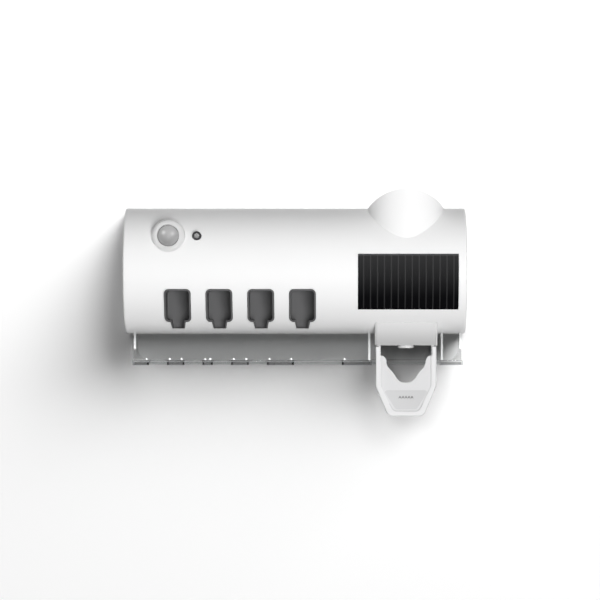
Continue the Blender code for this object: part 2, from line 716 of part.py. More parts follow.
def cut_front_openings(cover):
    """Openings seen from the front: bays and their slots, eye, indicator, panel recess and mouth."""
    front_y = AXIS_Y - BODY_RADIUS - OVERRUN
    for x in bay_middles():
        opening = prism("opening", bay_outline(GAP), "Y", front_y, BAY_BACK_Y)
        neck_edge = neck_outline(GAP, BAY_BOTTOM_Z + OVERRUN, NECK_BOTTOM_Z - GAP)
        neck = prism("neck", neck_edge, "Y", front_y, BAY_BACK_Y)
        cut(cover, place(opening, (x, 0, 0)), place(neck, (x, 0, 0)))
    lens_hole = rod("lens_hole", EYE_LENS_RADIUS + GAP, -EYE_LENS_RADIUS, OVERRUN)
    cut(cover, facing(lens_hole, eye_place(EYE_BOSS_FORWARD)))
    light_hole = rod("light_hole", INDICATOR_RADIUS + GAP, -INDICATOR_LENGTH - OVERRUN, OVERRUN)
    cut(cover, facing(light_hole, (INDICATOR_X, AXIS_Y - INDICATOR_FORWARD, INDICATOR_Z)))
    half = SOLAR_LENGTH / 2
    recess = surface_sector(
        "recess", BODY_RADIUS - SOLAR_RECESS, BODY_RADIUS + OVERRUN,
        SOLAR_BOTTOM_Z, SOLAR_TOP_Z, SOLAR_X - half, SOLAR_X + half, -GAP,
    )
    wire_z = (SOLAR_TOP_Z + SOLAR_BOTTOM_Z) / 2
    wire_hole = rod("wire_hole", WIRE_HOLE_RADIUS, 0, BODY_RADIUS, SCREW_STEPS)
    cut(cover, recess, along_y(wire_hole, SOLAR_X + half / 2, wire_z, AXIS_Y))
    mouth_top_z = BODY_RADIUS + COLLAR_RISE + OVERRUN
    mouth = rod("mouth", COLLAR_MOUTH_RADIUS, COLLAR_BASE_Z, mouth_top_z, COLLAR_STEPS)
    cut(cover, place(mouth, (DISPENSER_X, COLLAR_Y, 0)))


def cut_other_openings(cover):
    """Openings out of sight: pivot seats, charging port, power key and the rack's tab slots."""
    seat_reach = APRON_WIDTH / 2 - COVER_WALL + PIVOT_SEAT + GAP
    seats = rod("seats", PIVOT_RADIUS + GAP, -seat_reach, seat_reach, SCREW_STEPS)
    cut(cover, place(seats, (DISPENSER_X, PIVOT_Y, PIVOT_Z), (0, QUARTER_TURN, 0)))
    outer_x = -BODY_LENGTH / 2 - OVERRUN
    inner_x = END_INNER_X + OVERRUN
    port = prism("port", port_outline(GAP), "X", outer_x, inner_x)
    key = place(rod("key", KEY_RADIUS + GAP, outer_x, inner_x), (0, KEY_Y, KEY_Z), (0, QUARTER_TURN, 0))
    cut(cover, port, key)
    slot_low_z = -BODY_RADIUS - OVERRUN
    slot_high_z = -BODY_RADIUS + COVER_WALL + OVERRUN
    for x in tab_middles():
        cut(cover, tab("tab_slot", x, GAP, slot_low_z, slot_high_z))


def port_outline(clear):
    """The charging port's flat-oval mouth as (y, z) pairs."""
    low = (PORT_Y - PORT_THICKNESS / 2 - clear, PORT_Z - PORT_WIDTH / 2 - clear)
    high = (PORT_Y + PORT_THICKNESS / 2 + clear, PORT_Z + PORT_WIDTH / 2 + clear)
    return rounded_box(low, high, PORT_CORNER + clear, PORT_STEPS)


def brush_bay():
    """One grey pocket with its slotted guide below, trimmed to the housing's curve."""
    front_y = AXIS_Y - BODY_RADIUS
    bay = prism("brush_bay", bay_outline(0), "Y", front_y, BAY_BACK_Y)
    guide_top = BAY_BOTTOM_Z + BAY_CORNER
    guide = prism("guide", neck_outline(0, guide_top, NECK_BOTTOM_Z), "Y", front_y, BAY_BACK_Y)
    unite(bay, guide)
    half = BAY_WIDTH / 2 + OVERRUN
    keep_shared(bay, prism("trim", housing_section(BAY_SINK, REAR_Y), "X", -half, half))
    low = (-BAY_WIDTH / 2 + BAY_WALL, BAY_BOTTOM_Z + BAY_WALL)
    high = (BAY_WIDTH / 2 - BAY_WALL, BAY_TOP_Z - BAY_WALL)
    floor_y = BAY_BACK_Y - BAY_WALL
    cavity = prism("cavity", rounded_box(low, high, BAY_CORNER - BAY_WALL), "Y", front_y, floor_y)
    slot_outline = neck_outline(-NECK_WALL, BAY_BOTTOM_Z + 2 * BAY_WALL, NECK_BOTTOM_Z - OVERRUN)
    slot = prism("slot", slot_outline, "Y", front_y, floor_y)
    window = rod("window", LAMP_WINDOW_RADIUS, BAY_TOP_Z - OVERRUN, BAY_TOP_Z + OVERRUN, SCREW_STEPS)
    return cut(bay, cavity, slot, place(window, (0, LAMP_Y, 0)))


def uv_strip():
    middles = bay_middles()
    low = (middles[0] - STRIP_MARGIN, LAMP_Y - STRIP_DEPTH / 2, STRIP_LOW_Z)
    high = (middles[-1] + STRIP_MARGIN, LAMP_Y + STRIP_DEPTH / 2, STRIP_LOW_Z + STRIP_THICKNESS)
    return block("uv_strip", low, high)


def uv_lamp():
    """A lamp package: a square case with a small dome that faces down into its bay."""
    half = LAMP_SIZE / 2
    case = block("uv_lamp", (-half, -half, 0), (half, half, LAMP_HEIGHT))
    profile = arc_points((0, 0), LAMP_DOME_RADIUS, -QUARTER_TURN, 0, LAMP_DOME_STEPS)
    return unite(case, turned("dome", profile + [(LAMP_DOME_RADIUS, SINK), (0, SINK)], SCREW_STEPS))


def eye_lens():
    """The sensor's domed cap: a thin shell with a flange that sits behind the boss face."""
    sphere = (EYE_LENS_RADIUS**2 + EYE_LENS_RISE**2) / (2 * EYE_LENS_RISE)
    centre = EYE_LENS_RISE - sphere
    flange_top = -COVER_WALL - GAP
    flange_low = flange_top - EYE_FLANGE_THICKNESS
    bore = EYE_LENS_RADIUS - EYE_LENS_WALL
    inner = sphere - EYE_LENS_WALL
    outer_end = math.acos(EYE_LENS_RADIUS / sphere)
    inner_end = math.acos(bore / inner)
    outer_arc = arc_points((0, centre), sphere, QUARTER_TURN, outer_end, EYE_LENS_STEPS)
    inner_arc = arc_points((0, centre), inner, inner_end, QUARTER_TURN, EYE_LENS_STEPS)
    flange = [
        (EYE_LENS_RADIUS, flange_top), (EYE_LENS_RADIUS + EYE_FLANGE, flange_top),
        (EYE_LENS_RADIUS + EYE_FLANGE, flange_low), (bore, flange_low),
    ]
    return facing(turned("eye_lens", outer_arc + flange + inner_arc), eye_place(EYE_BOSS_FORWARD))


def eye_board_forward():
    """How far the sensor board's front face lies in front of the housing's axis."""
    return EYE_BOSS_FORWARD - COVER_WALL - EYE_FLANGE_THICKNESS - 2 * GAP - SENSOR_RIM


def motion_sensor():
    """The sensor's metal can with its base rim, seated behind the lens."""
    base = eye_board_forward() - EYE_BOSS_FORWARD + GAP
    profile = [
        (0, base), (SENSOR_RADIUS, base), (SENSOR_RADIUS, base + SENSOR_RIM),
        (SENSOR_RADIUS - SENSOR_RIM, base + SENSOR_RIM), (SENSOR_RADIUS - SENSOR_RIM, base + SENSOR_HEIGHT),
        (0, base + SENSOR_HEIGHT),
    ]
    return facing(turned("motion_sensor", profile), eye_place(EYE_BOSS_FORWARD))


def sensor_board():
    """A round board that closes the eye's bore behind the lens flange."""
    front = eye_board_forward() - EYE_BOSS_FORWARD
    radius = EYE_BOSS_RADIUS - COVER_WALL - GAP
    board = rod("sensor_board", radius, front - EYE_BOARD_THICKNESS, front)
    return facing(board, eye_place(EYE_BOSS_FORWARD))


def indicator_bezel():
    profile = [
        (INDICATOR_RADIUS - INDICATOR_WALL, -INDICATOR_LENGTH), (INDICATOR_RADIUS, -INDICATOR_LENGTH),
        (INDICATOR_RADIUS, -GAP), (INDICATOR_RADIUS - GAP, 0),
        (INDICATOR_RADIUS - INDICATOR_WALL / 2, 0), (INDICATOR_RADIUS - INDICATOR_WALL, -INDICATOR_WALL / 2),
    ]
    bezel = turned("indicator_bezel", profile, closed=True)
    return facing(bezel, (INDICATOR_X, AXIS_Y - INDICATOR_FORWARD, INDICATOR_Z))


def indicator_lens():
    radius = INDICATOR_RADIUS - INDICATOR_WALL - GAP
    turns = [QUARTER_TURN * i / INDICATOR_DOME_STEPS for i in range(INDICATOR_DOME_STEPS + 1)]
    dome = [(radius * math.cos(t), INDICATOR_DOME * (math.sin(t) - 1)) for t in turns]
    lens = turned("indicator_lens", [(0, -INDICATOR_LENGTH), (radius, -INDICATOR_LENGTH)] + dome)
    return facing(lens, (INDICATOR_X, AXIS_Y - INDICATOR_FORWARD, INDICATOR_Z))


def solar_panel():
    half = SOLAR_LENGTH / 2
    low_radius = BODY_RADIUS - SOLAR_RECESS + GAP
    return surface_sector(
        "solar_panel", low_radius, BODY_RADIUS + SOLAR_PROUD,
        SOLAR_BOTTOM_Z, SOLAR_TOP_Z, SOLAR_X - half, SOLAR_X + half,
    )


def plate_screw():
    """A pan-head screw driven in from behind, its head's underside at its own origin."""
    profile = [
        (0, SCREW_LENGTH), (SCREW_RADIUS / 2, SCREW_LENGTH), (SCREW_RADIUS, SCREW_LENGTH - SCREW_RADIUS),
        (SCREW_RADIUS, 0), (SCREW_HEAD_RADIUS, 0), (SCREW_HEAD_RADIUS, -SCREW_HEAD_HEIGHT / 2),
        (SCREW_CROWN_SHARE * SCREW_HEAD_RADIUS, -SCREW_HEAD_HEIGHT), (0, -SCREW_HEAD_HEIGHT),
    ]
    body = turned("plate_screw", profile, SCREW_STEPS)
    for wide, narrow in ((SCREW_HEAD_RADIUS, SCREW_SLOT), (SCREW_SLOT, SCREW_HEAD_RADIUS)):
        low = (-wide / 2, -narrow / 2, -SCREW_HEAD_HEIGHT - OVERRUN)
        cut(body, block("slot", low, (wide / 2, narrow / 2, -SCREW_HEAD_HEIGHT / 2)))
    return along_y(body, 0, 0)


def back_plate():
    """The flat lid behind the housing, with hook slots, screw holes and board posts."""
    inset = COVER_WALL + GAP
    low = (-BODY_LENGTH / 2 + inset, -BODY_RADIUS + inset)
    high = (BODY_LENGTH / 2 - inset, BODY_RADIUS - inset)
    plate = prism("back_plate", rounded_box(low, high, PLATE_CORNER), "Y", PLATE_FRONT_Y, PLATE_REAR_Y)
    for x, z in board_post_places():
        post = rod("post", BOARD_POST_RADIUS, -PLATE_FRONT_Y - SINK, -BOARD_REAR_Y - GAP, SCREW_STEPS)
        unite(plate, along_y(post, x, z))
    for x, z in post_places() + web_screw_places():
        hole = rod("hole", SCREW_RADIUS + GAP, 0, -PLATE_FRONT_Y + OVERRUN, SCREW_STEPS)
        cut(plate, along_y(hole, x, z))
    half = HOOK_WIDTH / 2 + 2 * GAP
    for side in (-1, 1):
        x = side * HOOK_SPREAD / 2
        low = (x - half, PLATE_FRONT_Y - OVERRUN, HOOK_ARM_Z - HOOK_LIP_RISE - 2 * LIFT_SPARE)
        high = (x + half, PLATE_REAR_Y + OVERRUN, HOOK_ARM_Z + HOOK_ARM + GAP)
        cut(plate, block("slot", low, high))
    return plate


def wall_bracket():
    """The plate that stays on the wall, with two hooks that turn up behind the back plate."""
    low = (-BRACKET_LENGTH / 2, -BRACKET_HEIGHT / 2)
    high = (BRACKET_LENGTH / 2, BRACKET_HEIGHT / 2)
    outline = rounded_box(low, high, BRACKET_CORNER)
    bracket = prism("wall_bracket", outline, "Y", BRACKET_FRONT_Y, BRACKET_REAR_Y)
    root_y = BRACKET_FRONT_Y + BRACKET_THICKNESS / 2
    lip_front_y = HOOK_LIP_Y - HOOK_LIP_THICKNESS
    arm_top_z = HOOK_ARM_Z + HOOK_ARM
    lip_top_z = arm_top_z + HOOK_LIP_RISE
    slope = HOOK_LIP_THICKNESS / 2
    hook = [
        (root_y, HOOK_ARM_Z), (root_y, arm_top_z), (HOOK_LIP_Y, arm_top_z), (HOOK_LIP_Y, lip_top_z - slope),
        (HOOK_LIP_Y - slope, lip_top_z), (lip_front_y, lip_top_z), (lip_front_y, HOOK_ARM_Z + slope),
        (lip_front_y + slope, HOOK_ARM_Z),
    ]
    for side in (-1, 1):
        x = side * HOOK_SPREAD / 2
        unite(bracket, prism("hook", hook, "X", x - HOOK_WIDTH / 2, x + HOOK_WIDTH / 2))
    return bracket


def adhesive_sheet():
    low = (-SHEET_LENGTH / 2, -SHEET_HEIGHT / 2)
    high = (SHEET_LENGTH / 2, SHEET_HEIGHT / 2)
    return prism("adhesive_sheet", rounded_box(low, high, SHEET_CORNER), "Y", -SHEET_THICKNESS, 0)


def wall_bumper():
    """A rubber pad behind a lower corner, which keeps the housing parallel to the wall."""
    return along_y(rod("wall_bumper", BUMPER_RADIUS, 0, -PLATE_REAR_Y - GAP, SCREW_STEPS), 0, 0)


def battery_cradle():
    """An open tray for the cell: floor, two long walls and two ends."""
    half = CELL_LENGTH / 2 + CELL_BUTTON_HEIGHT + GAP
    reach = CELL_RADIUS + GAP
    outer = half + CRADLE_WALL
    front_y = CELL_Y
    low = (CELL_X - outer, front_y, CELL_Z - reach - CRADLE_WALL)
    high = (CELL_X + outer, CRADLE_FRONT_Y, CELL_Z + reach + CRADLE_WALL)
    cradle = block("battery_cradle", low, high)
    low = (CELL_X - half, front_y - OVERRUN, CELL_Z - reach)
    high = (CELL_X + half, CRADLE_FRONT_Y - CRADLE_FLOOR, CELL_Z + reach)
    return cut(cradle, block("tray", low, high))


def battery_cell():
    half = CELL_LENGTH / 2
    profile = [
        (0, -half), (CELL_RADIUS - GAP, -half), (CELL_RADIUS, -half + GAP), (CELL_RADIUS, half - GAP),
        (CELL_RADIUS - GAP, half), (CELL_BUTTON_RADIUS, half),
        (CELL_BUTTON_RADIUS, half + CELL_BUTTON_HEIGHT), (0, half + CELL_BUTTON_HEIGHT),
    ]
    cell = turned("battery_cell", profile, CELL_STEPS)
    return place(cell, (CELL_X, CELL_Y, CELL_Z), (0, QUARTER_TURN, 0))


def board_post_places():
    left = BOARD_LEFT_X + BOARD_POST_INSET
    right = BOARD_LEFT_X + BOARD_LENGTH - BOARD_POST_INSET
    half = BOARD_HEIGHT / 2 - BOARD_POST_INSET
    return [(x, BOARD_Z + side * half) for x in (left, right) for side in (-1, 1)]


def main_board():
    low = (BOARD_LEFT_X, BOARD_FRONT_Y, BOARD_Z - BOARD_HEIGHT / 2)
    high = (BOARD_LEFT_X + BOARD_LENGTH, BOARD_REAR_Y, BOARD_Z + BOARD_HEIGHT / 2)
    board = block("main_board", low, high)
    for x, z in board_post_places():
        hole = rod("hole", SCREW_RADIUS, 0, -BOARD_FRONT_Y + OVERRUN, SCREW_STEPS)
        cut(board, along_y(hole, x, z))
    return board


def charging_port():
    """The port's metal shell with the contact tongue inside, its mouth in the left end wall."""
    mouth_x = -BODY_LENGTH / 2 + PORT_SINK
    shell = prism("charging_port", port_outline(0), "X", mouth_x, mouth_x + PORT_LENGTH)
    bore = prism("bore", port_outline(-PORT_WALL), "X", mouth_x - OVERRUN, mouth_x + PORT_LENGTH - PORT_WALL)
    cut(shell, bore)
    reach = PORT_WIDTH / 2 - 3 * PORT_WALL
    low = (mouth_x + PORT_SINK, PORT_Y - PORT_TONGUE / 2, PORT_Z - reach)
    high = (mouth_x + PORT_LENGTH - PORT_WALL / 2, PORT_Y + PORT_TONGUE / 2, PORT_Z + reach)
    return unite(shell, block("tongue", low, high))


def key_switch():
    """The switch body on the board, square, behind the power key."""
    face_x = END_INNER_X + GAP + KEY_FLANGE_THICKNESS + KEY_TRAVEL + GAP
    half = SWITCH_SIZE / 2
    low = (face_x, KEY_Y - half, KEY_Z - half)
    return block("key_switch", low, (face_x + SWITCH_LENGTH, KEY_Y + half, KEY_Z + half))


def power_key():
    """The round key that shows at the left end, kept in by its flange."""
    outer = BODY_LENGTH / 2 + KEY_PROUD
    flange_top = -END_INNER_X - GAP
    flange_low = flange_top - KEY_FLANGE_THICKNESS
    profile = [
        (0, flange_low), (KEY_RADIUS + KEY_FLANGE, flange_low), (KEY_RADIUS + KEY_FLANGE, flange_top),
        (KEY_RADIUS, flange_top), (KEY_RADIUS, outer - KEY_PROUD / 2), (KEY_RADIUS - KEY_PROUD / 2, outer),
        (0, outer),
    ]
    return place(turned("power_key", profile), (0, KEY_Y, KEY_Z), (0, -QUARTER_TURN, 0))


def feed_socket():
    """The funnel seen in the collar's mouth and the cup below it that takes the seal."""
    mouth_z = BODY_RADIUS + COLLAR_RISE + OVERRUN
    base_z = SOCKET_FLOOR_Z - SOCKET_FLOOR
    throat_z = SOCKET_FLOOR_Z + SEAL_HEIGHT + 2 * GAP + SOCKET_WALL
    outer_throat = FUNNEL_THROAT_RADIUS + SOCKET_WALL
    profile = [
        (0, base_z), (outer_throat, base_z), (outer_throat, throat_z),
        (FUNNEL_RADIUS, BODY_RADIUS - COVER_WALL), (FUNNEL_RADIUS, mouth_z), (0, mouth_z),
    ]
    socket = place(turned("feed_socket", profile, COLLAR_STEPS), (DISPENSER_X, COLLAR_Y, 0))
    keep_shared(socket, arch_prism(FUNNEL_SINK, 0))
    inner_mouth = FUNNEL_RADIUS - FUNNEL_WALL
    inside = [
        (0, base_z - OVERRUN), (CHANNEL_RADIUS, base_z - OVERRUN), (CHANNEL_RADIUS, SOCKET_FLOOR_Z),
        (FUNNEL_THROAT_RADIUS, SOCKET_FLOOR_Z), (FUNNEL_THROAT_RADIUS, throat_z),
        (inner_mouth, BODY_RADIUS), (inner_mouth, mouth_z + OVERRUN), (0, mouth_z + OVERRUN),
    ]
    return cut(socket, place(turned("inside", inside, COLLAR_STEPS), (DISPENSER_X, COLLAR_Y, 0)))


def feed_channel():
    """The flanged pipe under the cup, with the web that ties it to the back plate."""
    outer = CHANNEL_RADIUS + CHANNEL_WALL
    top = SOCKET_FLOOR_Z - SOCKET_FLOOR - GAP
    under = top - CHANNEL_FLANGE
    profile = [
        (CHANNEL_RADIUS, CHANNEL_BOTTOM_Z), (outer, CHANNEL_BOTTOM_Z), (outer, under - CHANNEL_CONE),
        (outer + CHANNEL_CONE, under), (CHANNEL_FLANGE_RADIUS, under), (CHANNEL_FLANGE_RADIUS, top),
        (CHANNEL_RADIUS, top),
    ]
    channel = place(turned("feed_channel", profile, closed=True), (DISPENSER_X, COLLAR_Y, 0))
    web_front_y = COLLAR_Y + CHANNEL_RADIUS + CHANNEL_WALL / 2
    web_low = (DISPENSER_X - WEB_WIDTH / 2, web_front_y, WEB_TOP_Z - WEB_HEIGHT)
    web_high = (DISPENSER_X + WEB_WIDTH / 2, PLATE_FRONT_Y - GAP, WEB_TOP_Z)
    unite(channel, block("web", web_low, web_high))
    for x, z in web_screw_places():
        pilot = rod("pilot", SCREW_RADIUS + GAP, -OVERRUN, SCREW_LENGTH, SCREW_STEPS)
        cut(channel, along_y(pilot, x, z, PLATE_FRONT_Y - GAP))
    plunger_bore = rod("plunger_bore", PLUNGER_RADIUS + GAP, 0, outer + OVERRUN, SCREW_STEPS)
    return cut(channel, along_y(plunger_bore, DISPENSER_X, bar_middle_z(), COLLAR_Y))


def mouth_seal():
    """The soft ring on the socket's floor, with an inner lip that seals round what stands in it."""
    low = SOCKET_FLOOR_Z + GAP
    middle = low + SEAL_HEIGHT / 2
    outer = FUNNEL_THROAT_RADIUS - GAP
    profile = [
        (SEAL_BORE_RADIUS + SEAL_LIP, low), (outer, low), (outer, low + SEAL_HEIGHT),
        (outer - SEAL_LIP, low + SEAL_HEIGHT), (SEAL_BORE_RADIUS + 2 * SEAL_LIP, middle),
        (SEAL_BORE_RADIUS, middle), (SEAL_BORE_RADIUS, middle - SEAL_LIP / 2),
    ]
    return place(turned("mouth_seal", profile, closed=True), (DISPENSER_X, COLLAR_Y, 0))


def check_valve():
    """A soft duckbill in the channel below the socket: a rim that hugs the bore and a tapered bill."""
    top = SOCKET_FLOOR_Z - VALVE_DROP
    rim = CHANNEL_RADIUS - GAP
    profile = [
        (rim - VALVE_WALL, top), (rim, top), (rim, top - VALVE_RIM), (rim - VALVE_STEP, top - VALVE_RIM),
        (VALVE_BILL_RADIUS, top - VALVE_HEIGHT), (VALVE_SLIT_RADIUS, top - VALVE_HEIGHT),
    ]
    return place(turned("check_valve", profile, closed=True), (DISPENSER_X, COLLAR_Y, 0))


def nozzle():
    """The outlet cap under the channel, its face just below the apron's edge."""
    top = NOZZLE_TOP_Z
    low = NOZZLE_BOTTOM_Z
    profile = [
        (NOZZLE_BORE_RADIUS, top), (NOZZLE_RADIUS - NOZZLE_EDGE, top), (NOZZLE_RADIUS, top - NOZZLE_EDGE),
        (NOZZLE_RADIUS, low + NOZZLE_EDGE), (NOZZLE_RADIUS - NOZZLE_EDGE, low),
        (NOZZLE_BORE_RADIUS + NOZZLE_CUP, low), (NOZZLE_BORE_RADIUS, low + NOZZLE_CUP),
    ]
    return place(turned("nozzle", profile, closed=True), (DISPENSER_X, COLLAR_Y, 0))


def bar_middle_z():
    return PIVOT_Z - LEVER_BAR_DROP


def bar_rear_y():
    """The rear face of the lever's bar, which pushes the plunger."""
    return PIVOT_Y + LEVER_BAR_THICKNESS / 2


def plunger():
    """A short piston with a round nose, from the lever's bar into the channel."""
    nose_y = bar_rear_y() + GAP
    profile = [
        (0, -PLUNGER_LENGTH), (PLUNGER_RADIUS, -PLUNGER_LENGTH), (PLUNGER_RADIUS, -PLUNGER_NOSE),
        (PLUNGER_RADIUS - PLUNGER_NOSE / 3, -PLUNGER_NOSE / 3), (PLUNGER_RADIUS - PLUNGER_NOSE, 0), (0, 0),
    ]
    return along_y(turned("plunger", profile), DISPENSER_X, bar_middle_z(), nose_y)


def pivot_pin():
    reach = APRON_WIDTH / 2 - COVER_WALL + PIVOT_SEAT
    pin = rod("pivot_pin", PIVOT_RADIUS, -reach, reach, SCREW_STEPS)
    return place(pin, (DISPENSER_X, PIVOT_Y, PIVOT_Z), (0, QUARTER_TURN, 0))


def lever_outline(inset):
    """The lever's face outline about its own middle: straight legs, a taper and a rounded toe."""
    half = LEVER_WIDTH / 2 - inset
    knee_z = LEVER_TOP_Z - LEVER_STRAIGHT
    toe_half = LEVER_TOE_WIDTH / 2 - inset
    toe_z = LEVER_TOE_Z + inset
    corner = LEVER_TOE_ROUND - inset / 2
    lean = math.atan2(half - toe_half, knee_z - toe_z)
    reach = corner * math.tan((QUARTER_TURN - lean) / 2)
    centre = (toe_half - reach, toe_z + corner)
    arc = arc_points(centre, corner, -lean, -QUARTER_TURN, LEVER_TOE_STEPS)
    right = [(half, LEVER_TOP_Z), (half, knee_z)] + arc
    return right + [(-x, z) for x, z in reversed(right)]


def scoop_outline():
    """The open space between the legs, down to the scooped edge that is pushed in use."""
    half = LEVER_WIDTH / 2 - LEVER_RIM
    right = [(half * across, LEVER_TOP_Z - LEVER_LENGTH * down) for across, down in SCOOP_SHARES]
    top = LEVER_TOP_Z + OVERRUN
    return [(-right[0][0], top), (right[0][0], top)] + right[:-1] + [(-x, z) for x, z in reversed(right)]


def push_lever():
    """The framed scoop, its two arms up inside the apron, and the bar that works the plunger."""
    lever = prism("push_lever", lever_outline(0), "Y", LEVER_FRONT_Y, LEVER_REAR_Y)
    round_edges(lever, LEVER_EDGE_ROUND, LEVER_EDGE_STEPS)
    panel_front_y = LEVER_FRONT_Y + LEVER_FACE_SINK
    panel_rear_y = panel_front_y + LEVER_PANEL
    inside = [(x, z + OVERRUN) if z == LEVER_TOP_Z else (x, z) for x, z in lever_outline(LEVER_RIM)]
    cut(
        lever,
        prism("face", inside, "Y", LEVER_FRONT_Y - OVERRUN, panel_front_y),
        prism("back", inside, "Y", panel_rear_y, LEVER_REAR_Y + OVERRUN),
        prism("scoop", scoop_outline(), "Y", LEVER_FRONT_Y - OVERRUN, LEVER_REAR_Y + OVERRUN),
        prism("pad", pad_outline(), "Y", panel_front_y - OVERRUN, panel_front_y + PRESS_PAD_SINK),
        shoulder_relief(),
    )
    arm_outer = APRON_WIDTH / 2 - COVER_WALL - 2 * GAP
    arm_inner = arm_outer - LEVER_ARM_THICKNESS
    for side in (-1, 1):
        low, high = sorted((side * arm_inner, side * arm_outer))
        unite(lever, prism("arm", arm_outline(), "X", low, high))
    bar_reach = arm_inner + SINK
    bar_front_y = PIVOT_Y - LEVER_BAR_THICKNESS / 2
    bar_low = (-bar_reach, bar_front_y, bar_middle_z() - LEVER_BAR_HEIGHT / 2)
    bar_high = (bar_reach, bar_rear_y(), bar_middle_z() + LEVER_BAR_HEIGHT / 2)
    unite(lever, block("bar", bar_low, bar_high))
    hole = rod("hole", PIVOT_RADIUS + GAP, -LEVER_WIDTH, LEVER_WIDTH, SCREW_STEPS)
    cut(lever, place(hole, (0, PIVOT_Y, PIVOT_Z), (0, QUARTER_TURN, 0)))
    return place(lever, (DISPENSER_X, 0, 0))


def pad_outline():
    """The sunk press pad: the lever's outline drawn in, cut off level below the scoop."""
    drawn = lever_outline(LEVER_RIM + PRESS_PAD_MARGIN)
    knee, toe = [pair for pair in drawn if pair[0] > 0][1:3]
    share = (knee[1] - PRESS_PAD_TOP_Z) / (knee[1] - toe[1])
    top_half = knee[0] + (toe[0] - knee[0]) * share
    lower = [pair for pair in drawn if pair[1] < PRESS_PAD_TOP_Z]
    return [(top_half, PRESS_PAD_TOP_Z)] + lower + [(-top_half, PRESS_PAD_TOP_Z)]


def shoulder_relief():
    """Slopes the shoulders down to the rear, so that they clear the apron when the lever swings."""
    reach = LEVER_DEPTH + OVERRUN
    fall = reach * math.tan(LEVER_SWING + LEVER_SPARE_SWING)
    start_y = LEVER_FRONT_Y + LEVER_EDGE_ROUND
    end_y = LEVER_FRONT_Y + reach
    outline = [
        (start_y, LEVER_TOP_Z), (end_y, LEVER_TOP_Z - fall), (end_y, LEVER_TOP_Z + OVERRUN),
        (start_y, LEVER_TOP_Z + OVERRUN),
    ]
    return prism("relief", outline, "X", -LEVER_WIDTH, LEVER_WIDTH)


def arm_outline():
    """An arm in side view, as (y, z): a round eye on the pivot and a strap down into the leg."""
    low_z = LEVER_TOP_Z - LEVER_ARM_LAP
    front_y = PIVOT_Y - LEVER_ARM_DEPTH / 2
    rear_y = PIVOT_Y + LEVER_ARM_DEPTH / 2
    neck_z = PIVOT_Z - LEVER_EYE_RADIUS
    eye = arc_points((PIVOT_Y, PIVOT_Z), LEVER_EYE_RADIUS, 0, math.pi, LEVER_EYE_STEPS)
    return eye + [(front_y, neck_z), (front_y, low_z), (rear_y, low_z), (rear_y, neck_z)]


def lever_spring():
    """A torsion spring round the pivot: one leg against the cover's front, one behind the lever's bar."""
    count = round(SPRING_TURNS * SPRING_POINTS_PER_TURN)
    pitch = SPRING_PITCH_SHARE * SPRING_WIRE_RADIUS
    points = []
    for i in range(count + 1):
        turn = math.pi + FULL_TURN * i / SPRING_POINTS_PER_TURN
        x = pitch * (i / SPRING_POINTS_PER_TURN - SPRING_TURNS / 2)
        points.append((x, SPRING_COIL_RADIUS * math.cos(turn), SPRING_COIL_RADIUS * math.sin(turn)))
    reach = BODY_RADIUS - COVER_WALL - GAP - SPRING_WIRE_RADIUS
    leg_up_y = AXIS_Y - math.sqrt(reach**2 - (PIVOT_Z + SPRING_LEG_RISE)**2) - PIVOT_Y
    leg_up = (points[0][0], leg_up_y, SPRING_LEG_RISE)
    leg_down_y = bar_rear_y() - PIVOT_Y + SPRING_WIRE_RADIUS + GAP
    leg_down = (points[-1][0], leg_down_y, -SPRING_LEG_DROP)
    at = (DISPENSER_X + SPRING_OFFSET_X, PIVOT_Y, PIVOT_Z)
    return wire_tube("lever_spring", [leg_up] + points + [leg_down], SPRING_WIRE_RADIUS, at)


def wire_tube(name, points, radius, at):
    """A wire of round section along points, as a curve turned into a mesh."""
    curve = bpy.data.curves.new(name, "CURVE")
    curve.dimensions = "3D"
    curve.bevel_depth = radius
    curve.bevel_resolution = 1
    curve.use_fill_caps = True
    spline = curve.splines.new("POLY")
    spline.points.add(len(points) - 1)
    for item, point in zip(spline.points, points):
        item.co = (*point, 1)
    holder = bpy.data.objects.new(name, curve)
    bpy.context.scene.collection.objects.link(holder)
    bpy.context.view_layer.update()
    graph = bpy.context.evaluated_depsgraph_get()
    mesh = bpy.data.meshes.new_from_object(holder.evaluated_get(graph))
    bpy.data.objects.remove(holder)
    shape = bmesh.new()
    shape.from_mesh(mesh)
    bmesh.ops.remove_doubles(shape, verts=shape.verts, dist=MERGE_DISTANCE)
    return place(make_object(name, shape), at)


def rack_plan():
    """The tray floor's outline from above, as (x, y): notches in front and a gap for the dispenser."""
    front = [(RACK_LEFT_X, RACK_FRONT_Y)]
    for share in NOTCH_PLACE_SHARES:
        front += notch(RACK_LEFT_X + share * TRAY_LENGTH)
    front += wide_notch(RACK_LEFT_X + WIDE_NOTCH_PLACE_SHARE * TRAY_LENGTH)
    strip_y = RACK_REAR_Y - RACK_BAY_STRIP
    for side, ys in ((-1, (RACK_FRONT_Y, strip_y)), (1, (strip_y, RACK_FRONT_Y))):
        front += [(DISPENSER_X + side * RACK_BAY_HALF, y) for y in ys]
    return front + [(RACK_RIGHT_X, RACK_FRONT_Y), (RACK_RIGHT_X, RACK_REAR_Y), (RACK_LEFT_X, RACK_REAR_Y)]


def notch(x):
    """A U-shaped notch with a round inner end."""
    radius = NOTCH_WIDTH / 2
    centre = (x, RACK_FRONT_Y + NOTCH_DEPTH - radius)
    inner_end = arc_points(centre, radius, math.pi, 0, NOTCH_STEPS)
    return [(x - radius, RACK_FRONT_Y)] + inner_end + [(x + radius, RACK_FRONT_Y)]


